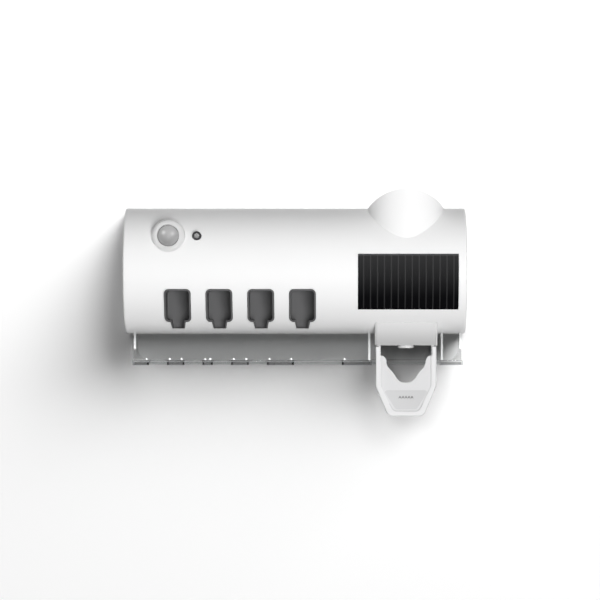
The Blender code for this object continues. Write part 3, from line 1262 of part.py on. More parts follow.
def wide_notch(x):
    """The broad notch, with two rounded inner corners."""
    half = WIDE_NOTCH_WIDTH / 2
    inner_y = RACK_FRONT_Y + NOTCH_DEPTH - WIDE_NOTCH_CORNER
    reach = half - WIDE_NOTCH_CORNER
    left = arc_points((x - reach, inner_y), WIDE_NOTCH_CORNER, math.pi, QUARTER_TURN, WIDE_NOTCH_STEPS)
    right = arc_points((x + reach, inner_y), WIDE_NOTCH_CORNER, QUARTER_TURN, 0, WIDE_NOTCH_STEPS)
    return [(x - half, RACK_FRONT_Y)] + left + right + [(x + half, RACK_FRONT_Y)]


def offset_outline(outline, inset):
    """An outline drawn in by inset, each corner along its bisector. The outline runs anticlockwise."""
    drawn = []
    for i, point in enumerate(outline):
        before = (Vector(point) - Vector(outline[i - 1])).normalized()
        after = (Vector(outline[(i + 1) % len(outline)]) - Vector(point)).normalized()
        left_before = Vector((-before.y, before.x))
        left_after = Vector((-after.y, after.x))
        middle = left_before + left_after
        drawn.append(tuple(Vector(point) + middle * (2 * inset / middle.length_squared)))
    return drawn


def end_wall(x, side):
    """An outer end of the tray, seen from the front as (x, z): upright, swept into the floor."""
    inner = x - side * RACK_WALL
    centre = (inner - side * RACK_END_SWEEP, RACK_FLOOR_TOP_Z - SINK + RACK_END_SWEEP)
    start, end = (0, -QUARTER_TURN) if side > 0 else (math.pi, 3 * QUARTER_TURN)
    sweep = arc_points(centre, RACK_END_SWEEP, start, end, RACK_SWEEP_STEPS)
    base_z = RACK_FLOOR_TOP_Z - RACK_WALL / 2
    top_z = RACK_TOP_Z + OVERRUN
    return [(x, base_z), (x, top_z), (inner, top_z)] + sweep + [(sweep[-1][0], base_z)]


def rack_floor():
    """The notched floor and its skirt, with the top edge rounded over all the way round."""
    plan = rack_plan()
    skirt_z = RACK_FLOOR_TOP_Z - RACK_SKIRT
    levels = [(skirt_z, 0)]
    for i in range(RACK_EDGE_STEPS + 1):
        turn = QUARTER_TURN * i / RACK_EDGE_STEPS
        drawn = RACK_EDGE_ROUND * (1 - math.cos(turn))
        levels.append((RACK_FLOOR_TOP_Z - RACK_EDGE_ROUND * (1 - math.sin(turn)), drawn))
    rings = [[(x, y, z) for x, y in offset_outline(plan, drawn)] for z, drawn in levels]
    floor = loft("storage_rack", rings)
    under = offset_outline(plan, RACK_SKIRT_WALL)
    return cut(floor, prism("under", under, "Z", skirt_z - OVERRUN, RACK_FLOOR_TOP_Z - RACK_WALL))


def storage_rack():
    """The clear tray: notched floor with a turned-down skirt, back wall, end walls, nibs and tabs."""
    rack = rack_floor()
    left = RACK_LEFT_X + RACK_WALL_INSET
    right = RACK_RIGHT_X - RACK_WALL_INSET
    front_y = RACK_FRONT_Y + RACK_WALL_INSET
    base_z = RACK_FLOOR_TOP_Z - RACK_WALL / 2
    top_z = RACK_TOP_Z + OVERRUN
    back_low = (left + RACK_WALL / 2, RACK_BACK_WALL_Y - RACK_WALL / 2, base_z)
    unite(
        rack,
        block("back", back_low, (right - RACK_WALL / 2, RACK_BACK_WALL_Y + RACK_WALL / 2, top_z)),
        prism("end", end_wall(left, -1), "Y", front_y, RACK_BACK_WALL_Y),
        prism("end", end_wall(right, 1), "Y", front_y, RACK_BACK_WALL_Y),
    )
    for side in (-1, 1):
        edge = DISPENSER_X + side * (RACK_BAY_HALF + RACK_WALL_INSET)
        low, high = sorted((edge, edge + side * RACK_WALL))
        unite(rack, block("bay_wall", (low, front_y, base_z), (high, RACK_BACK_WALL_Y, top_z)))
    cut(rack, prism("housing", housing_section(-GAP, OVERRUN), "X", -BODY_LENGTH, BODY_LENGTH))
    for x, y in nib_places():
        unite(rack, place(nib(), (x, y, RACK_FLOOR_TOP_Z)))
    for x in tab_middles():
        unite(rack, tab("tab", x, 0, RACK_TOP_Z - RACK_WALL, RACK_TOP_Z + TAB_RISE))
    return rack


def nib():
    """A small domed post that keeps a hung thing from sliding off."""
    dome = arc_points((0, NIB_RISE - NIB_RADIUS), NIB_RADIUS, 0, QUARTER_TURN, NIB_DOME_STEPS)
    return turned("nib", [(0, -RACK_WALL / 2), (NIB_RADIUS, -RACK_WALL / 2)] + dome, NIB_STEPS)


def nib_places():
    """A nib on each side of every notch, just behind the rack's front edge, as (x, y)."""
    spans = [(RACK_LEFT_X + share * TRAY_LENGTH, NOTCH_WIDTH / 2) for share in NOTCH_PLACE_SHARES]
    spans.append((RACK_LEFT_X + WIDE_NOTCH_PLACE_SHARE * TRAY_LENGTH, WIDE_NOTCH_WIDTH / 2))
    y = RACK_FRONT_Y + NIB_INSET
    return [(x + side * (half + NIB_INSET), y) for x, half in spans for side in (-1, 1)]


def build():
    clear_scene()
    white = make_material("white_gloss_plastic", (0.90, 0.90, 0.90), 0.22)
    inner_white = make_material("white_satin_plastic", (0.86, 0.86, 0.86), 0.45)
    milky = make_material("milky_plastic", (0.84, 0.84, 0.85), 0.30, transmission=0.15)
    grey = make_material("grey_soft_plastic", (0.10, 0.10, 0.105), 0.55)
    clear = make_material("clear_acrylic", (0.95, 0.96, 0.96), 0.05, transmission=1.0)
    silicon = make_material("solar_film", (0.010, 0.010, 0.012), 0.12)
    lens = make_material("frosted_lens", (0.62, 0.62, 0.62), 0.35, transmission=0.3)
    dark = make_material("dark_bezel", (0.05, 0.05, 0.055), 0.25)
    metal = make_material("bright_metal", (0.72, 0.72, 0.72), 0.25, metallic=1.0)
    board = make_material("circuit_board", (0.02, 0.16, 0.06), 0.5)
    rubber = make_material("silicone_rubber", (0.35, 0.35, 0.36), 0.7)
    foam = make_material("foam_tape", (0.75, 0.75, 0.73), 0.9)
    cell = make_material("cell_wrap", (0.05, 0.22, 0.45), 0.4)

    bracket_group = make_group("bracket_group")
    housing_group = make_group("housing_group")
    lever_group = make_group("lever_group", (DISPENSER_X, PIVOT_Y, PIVOT_Z))
    rack_group = make_group("rack_group")

    finish(adhesive_sheet(), foam, bracket_group)
    finish(wall_bracket(), inner_white, bracket_group)

    finish(front_cover(), white, housing_group)
    finish(back_plate(), inner_white, housing_group)
    screws = post_places() + web_screw_places()
    repeat(plate_screw(), metal, housing_group, [(x, PLATE_REAR_Y + GAP, z) for x, z in screws])
    bumpers = [(side * BUMPER_SPREAD / 2, 0, BUMPER_Z) for side in (-1, 1)]
    repeat(wall_bumper(), rubber, housing_group, bumpers)
    repeat(brush_bay(), grey, housing_group, [(x, 0, 0) for x in bay_middles()])
    finish(uv_strip(), board, housing_group)
    repeat(uv_lamp(), inner_white, housing_group, [(x, LAMP_Y, LAMP_LOW_Z) for x in bay_middles()])
    finish(eye_lens(), lens, housing_group)
    finish(motion_sensor(), metal, housing_group)
    finish(sensor_board(), board, housing_group)
    finish(indicator_bezel(), dark, housing_group)
    finish(indicator_lens(), lens, housing_group)
    finish(solar_panel(), silicon, housing_group)
    finish(battery_cradle(), inner_white, housing_group)
    finish(battery_cell(), cell, housing_group)
    finish(main_board(), board, housing_group)
    finish(charging_port(), metal, housing_group)
    finish(key_switch(), dark, housing_group)
    finish(feed_socket(), inner_white, housing_group)
    finish(feed_channel(), inner_white, housing_group)
    finish(mouth_seal(), rubber, housing_group)
    finish(check_valve(), rubber, housing_group)
    finish(nozzle(), white, housing_group)
    finish(pivot_pin(), metal, housing_group)
    finish(lever_spring(), metal, housing_group)

    finish(push_lever(), milky, lever_group, lever_group.location)
    plunger_place = (DISPENSER_X, bar_rear_y() + GAP, bar_middle_z())
    finish(plunger(), inner_white, housing_group, plunger_place)
    finish(power_key(), dark, housing_group, (-BODY_LENGTH / 2, KEY_Y, KEY_Z))
    finish(storage_rack(), clear, rack_group, (RACK_X, RACK_REAR_Y, RACK_TOP_Z))


build()
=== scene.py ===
"""Looks of the wall-mounted UV sterilising holder: fine shells, materials, a white wall and studio light.

Metres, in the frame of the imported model: +X to the right as the user faces it, +Y into the wall, +Z up.
"""

import json
import math

import bmesh
import bpy
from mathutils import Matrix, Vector


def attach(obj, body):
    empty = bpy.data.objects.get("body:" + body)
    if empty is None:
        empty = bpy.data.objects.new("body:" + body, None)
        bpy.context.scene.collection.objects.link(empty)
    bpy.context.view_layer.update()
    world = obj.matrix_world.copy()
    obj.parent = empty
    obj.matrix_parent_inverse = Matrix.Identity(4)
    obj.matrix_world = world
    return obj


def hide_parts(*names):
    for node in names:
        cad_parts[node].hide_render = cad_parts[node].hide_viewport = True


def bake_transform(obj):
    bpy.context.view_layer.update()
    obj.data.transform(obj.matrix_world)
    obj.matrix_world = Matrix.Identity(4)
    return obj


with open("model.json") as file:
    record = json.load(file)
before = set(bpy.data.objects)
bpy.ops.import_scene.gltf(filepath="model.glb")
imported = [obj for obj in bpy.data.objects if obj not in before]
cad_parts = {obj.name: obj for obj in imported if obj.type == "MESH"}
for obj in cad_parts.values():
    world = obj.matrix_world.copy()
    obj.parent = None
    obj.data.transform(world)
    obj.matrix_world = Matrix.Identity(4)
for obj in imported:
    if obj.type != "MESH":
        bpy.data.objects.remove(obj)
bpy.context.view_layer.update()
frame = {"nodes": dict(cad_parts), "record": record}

# General: lengths in metres, angles in radians, and how finely curves are divided
MM = 0.001
QUARTER_TURN = math.pi / 2
FULL_TURN = 2 * math.pi
OVERRUN = 4.0 * MM
GAP = 0.3 * MM
MERGE_DISTANCE = 0.004 * MM
FLAT_ANGLE = 0.001
ALONG_SHARE = 0.99
SMOOTH_ANGLE = math.radians(30)
ROD_STEPS = 64
TURN_STEPS = 96
THIN_ROD_STEPS = 32
CORNER_STEPS = 10
HIDDEN_CORNER_STEPS = 8
EDGE_STEPS = 4
FINE_EDGE_STEPS = 5

# Housing: a half-round bar with flat flanks
BODY_LENGTH = 330 * MM
BODY_RADIUS = 61 * MM
AXIS_Y = -25 * MM
REAR_Y = -1.5 * MM
COVER_WALL = 2.4 * MM
END_ROUND = 2.0 * MM
HOLLOW_ROUND = 0.4 * MM
BODY_STEPS = 288
END_STEPS = 8

# Collar under the arch, and the dispenser's apron
DISPENSER_X = 107 * MM
COLLAR_RADIUS = 36.5 * MM
COLLAR_Y = AXIS_Y - 15.7 * MM
COLLAR_RISE = 17.8 * MM
COLLAR_BASE_Z = BODY_RADIUS / 2
COLLAR_OVER_Z = BODY_RADIUS + COLLAR_RISE + OVERRUN
COLLAR_STEPS = 224
MOUTH_RADIUS = 24.6 * MM
ARCH_RADIUS = (COLLAR_RADIUS**2 + COLLAR_RISE**2) / (2 * COLLAR_RISE)
ARCH_CENTRE_Z = BODY_RADIUS + COLLAR_RISE - ARCH_RADIUS
ARCH_STEPS = 288
APRON_WIDTH = 60.6 * MM
APRON_FRONT_Y = AXIS_Y - 35.5 * MM
APRON_REAR_Y = REAR_Y - 12.5 * MM
APRON_LEAN = 3.0 * MM
APRON_ROUND = 3.0 * MM
APRON_TOP_Z = -0.7 * BODY_RADIUS
APRON_BOTTOM_Z = -72 * MM
APRON_LEVELS = 12
APRON_ROUND_STEPS = 8
# Painted shade down the apron's face: the level where it starts, and its grey at the top and at the lower
# edge
APRON_PAINTED_SHADE_Z = -49.6 * MM
APRON_PAINTED_SHADE_TOP = (0.65, 0.65, 0.65)
APRON_PAINTED_SHADE_LOW = (0.44, 0.44, 0.44)

# Bays in the lower front, each with a slotted guide below
BAY_COUNT = 4
BAY_PITCH = 40 * MM
BAY_FIRST_X = -112.9 * MM
BAY_WIDTH = 25.4 * MM
BAY_HEIGHT = 31.4 * MM
BAY_CORNER = 4.3 * MM
BAY_WALL = 1.5 * MM
BAY_SINK = 0.2 * MM
BAY_BACK_Y = AXIS_Y - 14 * MM
NECK_TOP_WIDTH = 14.4 * MM
NECK_BOTTOM_WIDTH = 11.8 * MM
NECK_DROP = 6.2 * MM
NECK_WALL = 1.2 * MM
NECK_BOTTOM_Z = 5.5 * MM - BODY_RADIUS
BAY_BOTTOM_Z = NECK_BOTTOM_Z + NECK_DROP
BAY_TOP_Z = BAY_BOTTOM_Z + BAY_HEIGHT
BAY_FLOOR_FILLET = 0.8 * MM
LAMP_WINDOW_RADIUS = 3.2 * MM
LAMP_Y = BAY_BACK_Y - 15 * MM

# Sensor eye and the small indicator
FACE_TILT = math.radians(8)
EYE_X = 43.5 * MM - BODY_LENGTH / 2
EYE_Z = 33.6 * MM
EYE_BOSS_RADIUS = 16.4 * MM
EYE_BOSS_ROUND = 4.4 * MM
EYE_BOSS_STEPS = 10
# Painted shade on the eye boss's face
EYE_BOSS_PAINTED_SHADE = (0.68, 0.68, 0.68)
EYE_BOSS_Y = AXIS_Y - math.sqrt(BODY_RADIUS**2 - EYE_Z**2) - 5.7 * MM
EYE_PLACE = (EYE_X, EYE_BOSS_Y, EYE_Z)
EYE_LENS_RADIUS = 10.2 * MM
EYE_LENS_RISE = 8.08 * MM
EYE_LENS_WALL = 1.2 * MM
EYE_LENS_STEPS = 28
EYE_LENS_INNER_STEPS = 20
EYE_FLANGE = 1.8 * MM
EYE_FLANGE_THICKNESS = 1.2 * MM
INDICATOR_X = EYE_X + 27.2 * MM
INDICATOR_Z = 33.7 * MM
INDICATOR_RADIUS = 4.3 * MM
INDICATOR_WALL = 1.3 * MM
INDICATOR_LENGTH = 9.0 * MM
INDICATOR_DOME = 1.4 * MM
INDICATOR_LIP_STEPS = 10
INDICATOR_DOME_STEPS = 14
INDICATOR_FORWARD = math.sqrt(BODY_RADIUS**2 - INDICATOR_Z**2) + 2.8 * MM
INDICATOR_PLACE = (INDICATOR_X, AXIS_Y - INDICATOR_FORWARD, INDICATOR_Z)

# Solar panel in its recess
SOLAR_LENGTH = 96.4 * MM
SOLAR_X = BODY_LENGTH / 2 - 8.2 * MM - SOLAR_LENGTH / 2
SOLAR_TOP_Z = 15.9 * MM
SOLAR_BOTTOM_Z = -37.1 * MM
SOLAR_RECESS = 1.2 * MM
SOLAR_PROUD = 0.25 * MM
CELL_FIRST = 5.4 * MM
CELL_PITCH = 6.65 * MM
CELL_LINE = 1.2 * MM
WIRE_HOLE_RADIUS = 2.5 * MM

# Back plate, its screws, the posts that take them, and its bumpers
PLATE_REAR_Y = -6.0 * MM
PLATE_THICKNESS = 2.5 * MM
PLATE_FRONT_Y = PLATE_REAR_Y - PLATE_THICKNESS
PLATE_CORNER = 2.0 * MM
PLATE_EDGE = 0.5 * MM
POST_RADIUS = 3.8 * MM
POST_LENGTH = 22.0 * MM
POST_X = BODY_LENGTH / 2 - 15.0 * MM
POST_MIDDLE_X = -10.0 * MM
POST_Z = 55.4 * MM
SCREW_RADIUS = 1.4 * MM
SCREW_LENGTH = 11.0 * MM
SCREW_HEAD_RADIUS = 2.7 * MM
SCREW_HEAD_HEIGHT = 1.4 * MM
SCREW_HEAD_STEPS = 10
SCREW_RIM_SHARE = 0.35
SCREW_SLOT = 0.8 * MM
SCREW_STEPS = 48
BOARD_POST_RADIUS = 3.0 * MM
BOARD_POST_Y = -13.2 * MM
BOARD_POST_PLACES = [(x, z) for x in (-155.2 * MM, -103.2 * MM) for z in (8.0 * MM, 32.0 * MM)]
WEB_SCREW_PLACES = [(DISPENSER_X, 0.0), (DISPENSER_X, 18.0 * MM)]
BUMPER_RADIUS = 6.0 * MM
BUMPER_EDGE = 1.0 * MM
BUMPER_X = BODY_LENGTH / 2 - 30 * MM
BUMPER_Z = 21.0 * MM - BODY_RADIUS

# Wall bracket with its two hooks, and the adhesive sheet behind it
HOOK_X = 80 * MM
HOOK_WIDTH = 18 * MM
HOOK_ARM_Z = 6.0 * MM
HOOK_ARM_TOP_Z = 9.2 * MM
HOOK_LIP_RISE = 7.0 * MM
HOOK_LIP_THICKNESS = 2.4 * MM
HOOK_LIP_Y = -9.1 * MM
HOOK_SLOT_LOW_Z = HOOK_ARM_Z - HOOK_LIP_RISE - 2.0 * MM
BRACKET_LENGTH = 200 * MM
BRACKET_HEIGHT = 58 * MM
BRACKET_CORNER = 8.0 * MM
BRACKET_EDGE = 0.6 * MM
BRACKET_REAR_Y = -1.3 * MM
BRACKET_FRONT_Y = -4.1 * MM
SHEET_LENGTH = 190 * MM
SHEET_HEIGHT = 50 * MM
SHEET_THICKNESS = 1.0 * MM
SHEET_CORNER = 6.0 * MM

# Charging port and power key in the left end
KEY_RADIUS = 4.0 * MM
KEY_PROUD = 1.0 * MM
KEY_FLANGE = 1.2 * MM
KEY_FLANGE_THICKNESS = 1.0 * MM
KEY_RIM_STEPS = 6
KEY_DISH = 0.4 * MM
KEY_DISH_SHARES = (0.9, 0.7, 0.5, 0.25)
KEY_Y, KEY_Z = -18.4 * MM, 28.0 * MM
PORT_WIDTH = 9.0 * MM
PORT_THICKNESS = 3.3 * MM
PORT_CORNER = 1.5 * MM
PORT_LENGTH = 9.6 * MM
PORT_WALL = 0.4 * MM
PORT_TONGUE = 0.7 * MM
PORT_TONGUE_STEPS = 3
PORT_SINK = 0.6 * MM
PORT_Y, PORT_Z = -17.05 * MM, 11.0 * MM

# Dispenser: funnel, seal and nozzle
FUNNEL_RADIUS = MOUTH_RADIUS - GAP
FUNNEL_WALL = 1.8 * MM
FUNNEL_THROAT_RADIUS = 19.0 * MM
FUNNEL_SINK = 0.5 * MM
SOCKET_FLOOR_Z = 34.0 * MM
SOCKET_FLOOR = 3.0 * MM
SOCKET_WALL = 1.8 * MM
CHANNEL_RADIUS = 4.5 * MM
SEAL_HEIGHT = 5.0 * MM
SEAL_BORE_RADIUS = 6.5 * MM
SEAL_LIP = 1.6 * MM
NOZZLE_RADIUS = 7.75 * MM
NOZZLE_BORE_RADIUS = 2.6 * MM
NOZZLE_TOP_Z = APRON_BOTTOM_Z + 5.7 * MM
NOZZLE_BOTTOM_Z = APRON_BOTTOM_Z - 2.7 * MM
NOZZLE_CUP = 2.0 * MM
NOZZLE_EDGE = 0.4 * MM

# Push lever on its pivot
PIVOT_Y, PIVOT_Z = -52.2 * MM, -51.0 * MM
PIVOT_RADIUS = 1.5 * MM
PIVOT_SEAT = 1.0 * MM
PIVOT_STEPS = 48
LEVER_WIDTH = 58.6 * MM
LEVER_DEPTH = 7.4 * MM
LEVER_LENGTH = 67.6 * MM
LEVER_STRAIGHT = 38.4 * MM
LEVER_TOE_WIDTH = 34.4 * MM
LEVER_TOE_ROUND = 7.5 * MM
LEVER_TOE_STEPS = 18
LEVER_RIM = 4.9 * MM
LEVER_EDGE_ROUND = 1.2 * MM
LEVER_EDGE_STEPS = 6
LEVER_FACE_SINK = 1.6 * MM
LEVER_FACE_FILLET = 0.9 * MM
LEVER_PANEL = 2.0 * MM
LEVER_ARM_THICKNESS = 2.8 * MM
LEVER_ARM_DEPTH = 4.0 * MM
LEVER_ARM_LAP = 10.0 * MM
LEVER_EYE_RADIUS = 3.4 * MM
LEVER_EYE_STEPS = 24
LEVER_SWING = math.radians(20)
LEVER_BAR_DROP = 9.0 * MM
LEVER_BAR_HEIGHT = 4.0 * MM
LEVER_BAR_THICKNESS = 2.2 * MM
LEVER_TOP_Z = APRON_BOTTOM_Z - 1.0 * MM
LEVER_TOE_Z = LEVER_TOP_Z - LEVER_LENGTH
LEVER_FRONT_Y = APRON_FRONT_Y + APRON_LEAN
LEVER_REAR_Y = LEVER_FRONT_Y + LEVER_DEPTH
PANEL_FRONT_Y = LEVER_FRONT_Y + LEVER_FACE_SINK
PRESS_PAD_TOP_Z = LEVER_TOP_Z - 0.626 * LEVER_LENGTH
PRESS_PAD_SINK = 0.9 * MM
PRESS_PAD_MARGIN = 2.0 * MM
PRESS_PAD_CORNER = 2.2 * MM
PRESS_PAD_CORNER_STEPS = 8
PRESS_PAD_ROLL_STEPS = 1440
GROOVE_WIDTH = 0.6 * MM
GROOVE_DEPTH = 0.5 * MM
MARK_COUNT = 5
MARK_PITCH = 2.9 * MM
MARK_WIDTH = 2.3 * MM
MARK_HEIGHT = 3.0 * MM
MARK_STROKE = 1.2 * MM
MARK_PROUD = 0.25 * MM
MARK_Z = -123.7 * MM
# The scoop's edge, rim to middle: shares of half the opening's width and of the lever's length
SCOOP_SHARES = (
    (1.04, 0.128), (0.87, 0.145), (0.78, 0.203), (0.765, 0.25), (0.685, 0.308), (0.553, 0.355),
    (0.447, 0.411), (0.315, 0.478), (0.16, 0.512), (0.0, 0.521),
)
SCOOP_FINENESS = 6

# Return spring on the pivot pin
SPRING_WIRE_RADIUS = 0.45 * MM
SPRING_WIRE_STEPS = 16
SPRING_COIL_RADIUS = 2.6 * MM
SPRING_TURNS = 5.25
SPRING_LENGTH = 17.6 * SPRING_WIRE_RADIUS
SPRING_STEPS = 168
SPRING_LEG_RISE = 4.5 * MM
SPRING_LEG_DROP = 10.3 * MM
SPRING_LEG_STEPS = 16
SPRING_OFFSET_X = 15.0 * MM

# Hanging rack
RACK_LEFT_X = 6.9 * MM - BODY_LENGTH / 2
RACK_RIGHT_X = BODY_LENGTH / 2 - 2.5 * MM
RACK_LENGTH = RACK_RIGHT_X - RACK_LEFT_X
RACK_X = (RACK_LEFT_X + RACK_RIGHT_X) / 2
RACK_FRONT_Y = AXIS_Y - 15.0 * MM
RACK_REAR_Y = -2.3 * MM
RACK_WALL = 2.0 * MM
RACK_FLOOR_TOP_Z = -86.7 * MM
RACK_SKIRT = 4.6 * MM
RACK_SKIRT_WALL = 1.7 * MM
RACK_EDGE_ROUND = 0.9 * MM
RACK_WALL_INSET = 1.3 * MM
RACK_BACK_WALL_Y = RACK_REAR_Y - RACK_WALL_INSET - RACK_WALL / 2
RACK_END_SWEEP = 12.0 * MM
RACK_END_SINK = 0.4 * MM
RACK_END_STEPS = 20
RACK_BAY_HALF = APRON_WIDTH / 2 + 2.6 * MM
RACK_BAY_STRIP = 8.0 * MM
RACK_TOP_Z = -BODY_RADIUS - GAP
TRAY_LENGTH = DISPENSER_X - RACK_BAY_HALF - RACK_LEFT_X
NOTCH_WIDTH = 17.6 * MM
NOTCH_DEPTH = 21.0 * MM
NOTCH_STEPS = 24
WIDE_NOTCH_WIDTH = 46.6 * MM
WIDE_NOTCH_CORNER = 8.0 * MM
NOTCH_PLACE_SHARES = (0.1064, 0.2545, 0.3738, 0.5241)
WIDE_NOTCH_PLACE_SHARE = 0.7752
NIB_RADIUS = 1.2 * MM
NIB_RISE = 2.2 * MM
NIB_INSET = 2.6 * MM
NIB_STEPS = 8
TAB_WIDTH = 14.0 * MM
TAB_THICKNESS = 1.6 * MM
TAB_RISE = 9.0 * MM
TAB_PLACE_SHARES = (-0.42, -0.18, 0.12, 0.39)


def alone(obj):
    """Selects one object and nothing else."""
    bpy.ops.object.select_all(action="DESELECT")
    obj.select_set(True)
    bpy.context.view_layer.objects.active = obj


def fresh(name):
    """The primitive just added, under its name, with its place, turn and size in its mesh."""
    obj = bpy.context.object
    obj.name = name
    obj.data.name = name
    alone(obj)
    bpy.ops.object.transform_apply(location=True, rotation=True, scale=True)
    return obj


def bar(name, low, high):
    """A box between two corners."""
    low, high = Vector(low), Vector(high)
    bpy.ops.mesh.primitive_cube_add(size=1, location=(low + high) / 2, scale=high - low)
    return fresh(name)


def rod(name, radius, start, end, steps=ROD_STEPS):
    """A round bar from one point to another, with so many sides."""
    start, end = Vector(start), Vector(end)
    run = end - start
    turn = run.to_track_quat("Z", "Y").to_euler()
    bpy.ops.mesh.primitive_cylinder_add(
        vertices=steps, radius=radius, depth=run.length, location=(start + end) / 2, rotation=turn
    )
    return fresh(name)


def edit(obj, kind="FACE"):
    """Opens a mesh in edit mode with nothing selected."""
    alone(obj)
    bpy.ops.object.mode_set(mode="EDIT")
    bpy.ops.mesh.select_mode(type=kind)
    bpy.ops.mesh.select_all(action="DESELECT")


def done(obj):
    """Leaves edit mode."""
    bpy.ops.object.mode_set(mode="OBJECT")
    return obj


def pick(obj, kind, test):
    """Selects the faces, edges or points of the mesh being edited that pass a test."""
    bpy.ops.mesh.select_mode(type=kind)
    bpy.ops.mesh.select_all(action="DESELECT")
    shape = bmesh.from_edit_mesh(obj.data)
    items = {"FACE": shape.faces, "EDGE": shape.edges, "VERT": shape.verts}[kind]
    for item in items:
        if test(item):
            item.select_set(True)
    shape.select_flush_mode()
    bmesh.update_edit_mesh(obj.data)


def level_seam(edge):
    """Whether an edge lies between two faces in one plane."""
    return edge.is_manifold and edge.calc_face_angle() < FLAT_ANGLE


def along(edge, axis):
    """Whether an edge runs along an axis (0, 1 or 2)."""
    run = edge.verts[1].co - edge.verts[0].co
    return abs(run[axis]) > ALONG_SHARE * run.length


def middle(edge):
    """The point halfway along an edge."""
    return (edge.verts[0].co + edge.verts[1].co) / 2


def pull(x=0.0, y=0.0, z=0.0):
    """Extrudes what is selected."""
    bpy.ops.mesh.extrude_region_move(TRANSFORM_OT_translate={"value": (x, y, z)})


def round_off(offset, steps):
    """Rounds the selected edges."""
    bpy.ops.mesh.bevel(offset=offset, segments=steps, profile=0.5, affect="EDGES", clamp_overlap=False)


def slice_off(point, normal):
    """Cuts away all that lies on a plane's normal side, and closes the cut."""
    bpy.ops.mesh.select_all(action="SELECT")
    bpy.ops.mesh.bisect(plane_co=point, plane_no=normal, use_fill=True, clear_outer=True)


def rounded_bar(name, low, high, corner, axis, steps):
    """A box whose four edges along one axis are rounded."""
    obj = bar(name, low, high)
    edit(obj, "EDGE")
    pick(obj, "EDGE", lambda edge: along(edge, axis))
    round_off(corner, steps)
    return done(obj)


def turned(name, profile, closed=False, steps=TURN_STEPS):
    """A piece turned about Z: one point drawn out along a profile of (radius, height), then spun."""
    bpy.ops.mesh.primitive_plane_add(size=MM)
    obj = fresh(name)
    edit(obj, "VERT")
    bpy.ops.mesh.select_all(action="SELECT")
    bpy.ops.mesh.merge(type="CENTER")
    at = Vector((profile[0][0], 0, profile[0][1]))
    bpy.ops.transform.translate(value=at)
    for radius, height in profile[1:] + (profile[:1] if closed else []):
        step = Vector((radius, 0, height)) - at
        bpy.ops.mesh.extrude_vertices_move(TRANSFORM_OT_translate={"value": step})
        at += step
    bpy.ops.mesh.select_all(action="SELECT")
    bpy.ops.mesh.spin(steps=steps, angle=FULL_TURN, center=(0, 0, 0), axis=(0, 0, 1))
    bpy.ops.mesh.select_all(action="SELECT")
    bpy.ops.mesh.remove_doubles(threshold=MERGE_DISTANCE)
    bpy.ops.mesh.normals_make_consistent(inside=False)
    return done(obj)


def arc(centre, radius, start, end, steps):
    """Points along an arc, both ends with it."""
    turns = [start + (end - start) * i / steps for i in range(steps + 1)]
    return [(centre[0] + radius * math.cos(t), centre[1] + radius * math.sin(t)) for t in turns]


def drawn(name, outline, axis, low, high):
    """A plate: an outline drawn out point by point, filled, and extruded along an axis."""

    def point(u, v, w):
        return Vector({"X": (w, u, v), "Y": (u, w, v), "Z": (u, v, w)}[axis])

    bpy.ops.mesh.primitive_plane_add(size=MM)
    obj = fresh(name)
    edit(obj, "VERT")
    bpy.ops.mesh.select_all(action="SELECT")
    bpy.ops.mesh.merge(type="CENTER")
    at = point(*outline[0], low)
    bpy.ops.transform.translate(value=at)
    for pair in [*outline[1:], outline[0]]:
        step = point(*pair, low) - at
        bpy.ops.mesh.extrude_vertices_move(TRANSFORM_OT_translate={"value": step})
        at += step
    bpy.ops.mesh.select_all(action="SELECT")
    bpy.ops.mesh.remove_doubles(threshold=MERGE_DISTANCE)
    bpy.ops.mesh.edge_face_add()
    pull(*point(0, 0, high - low))
    bpy.ops.mesh.select_all(action="SELECT")
    bpy.ops.mesh.normals_make_consistent(inside=False)
    return done(obj)


def drawn_in(outline, inset):
    """An outline drawn in by inset, each corner along its bisector. The outline runs anticlockwise."""
    moved = []
    for i, point in enumerate(outline):
        before = (Vector(point) - Vector(outline[i - 1])).normalized()
        after = (Vector(outline[(i + 1) % len(outline)]) - Vector(point)).normalized()
        across = Vector((-before.y - after.y, before.x + after.x))
        moved.append(tuple(Vector(point) + across * (2 * inset / across.length_squared)))
    return moved


def round_rim(obj, axis, level, offset, steps, test=None):
    """Rounds the edges that lie at one level of an axis, or those of them that pass a test."""
    edit(obj, "EDGE")

    def at_level(edge):
        flat = all(abs(vert.co[axis] - level) < MERGE_DISTANCE for vert in edge.verts)
        return flat and not level_seam(edge) and (test is None or test(middle(edge)))

    pick(obj, "EDGE", at_level)
    round_off(offset, steps)
    return done(obj)


def set_at(obj, place, turn=(0, 0, 0)):
    """Turns and moves a finished mesh, and keeps its object at the origin."""
    alone(obj)
    obj.rotation_euler = turn
    obj.location = place
    bpy.ops.object.transform_apply(location=True, rotation=True, scale=True)
    return obj


def apply_all(obj):
    """Applies an object's modifiers."""
    alone(obj)
    for modifier in list(obj.modifiers):
        bpy.ops.object.modifier_apply(modifier=modifier.name)


def combine(obj, operation, tools):
    """Works tools into a mesh one after another, and removes them."""
    for tool in tools:
        modifier = obj.modifiers.new(operation.lower(), "BOOLEAN")
        modifier.operation = operation
        modifier.object = tool
        apply_all(obj)
        bpy.data.objects.remove(tool)
    return obj


def carve(obj, *tools):
    return combine(obj, "DIFFERENCE", tools)


def unite(obj, *tools):
    return combine(obj, "UNION", tools)


def keep_common(obj, tool):
    return combine(obj, "INTERSECT", [tool])


def copy_of(obj, name):
    """A copy with its own mesh."""
    twin = obj.copy()
    twin.data = obj.data.copy()
    twin.name = name
    twin.data.name = name
    bpy.context.scene.collection.objects.link(twin)
    return twin


def smooth(obj):
    """Smooth shading up to an angle, with the flat faces ruling at small roundings."""
    alone(obj)
    bpy.ops.object.shade_smooth_by_angle(angle=SMOOTH_ANGLE)
    weights = obj.modifiers.new("weights", "WEIGHTED_NORMAL")
    weights.keep_sharp = True
    apply_all(obj)


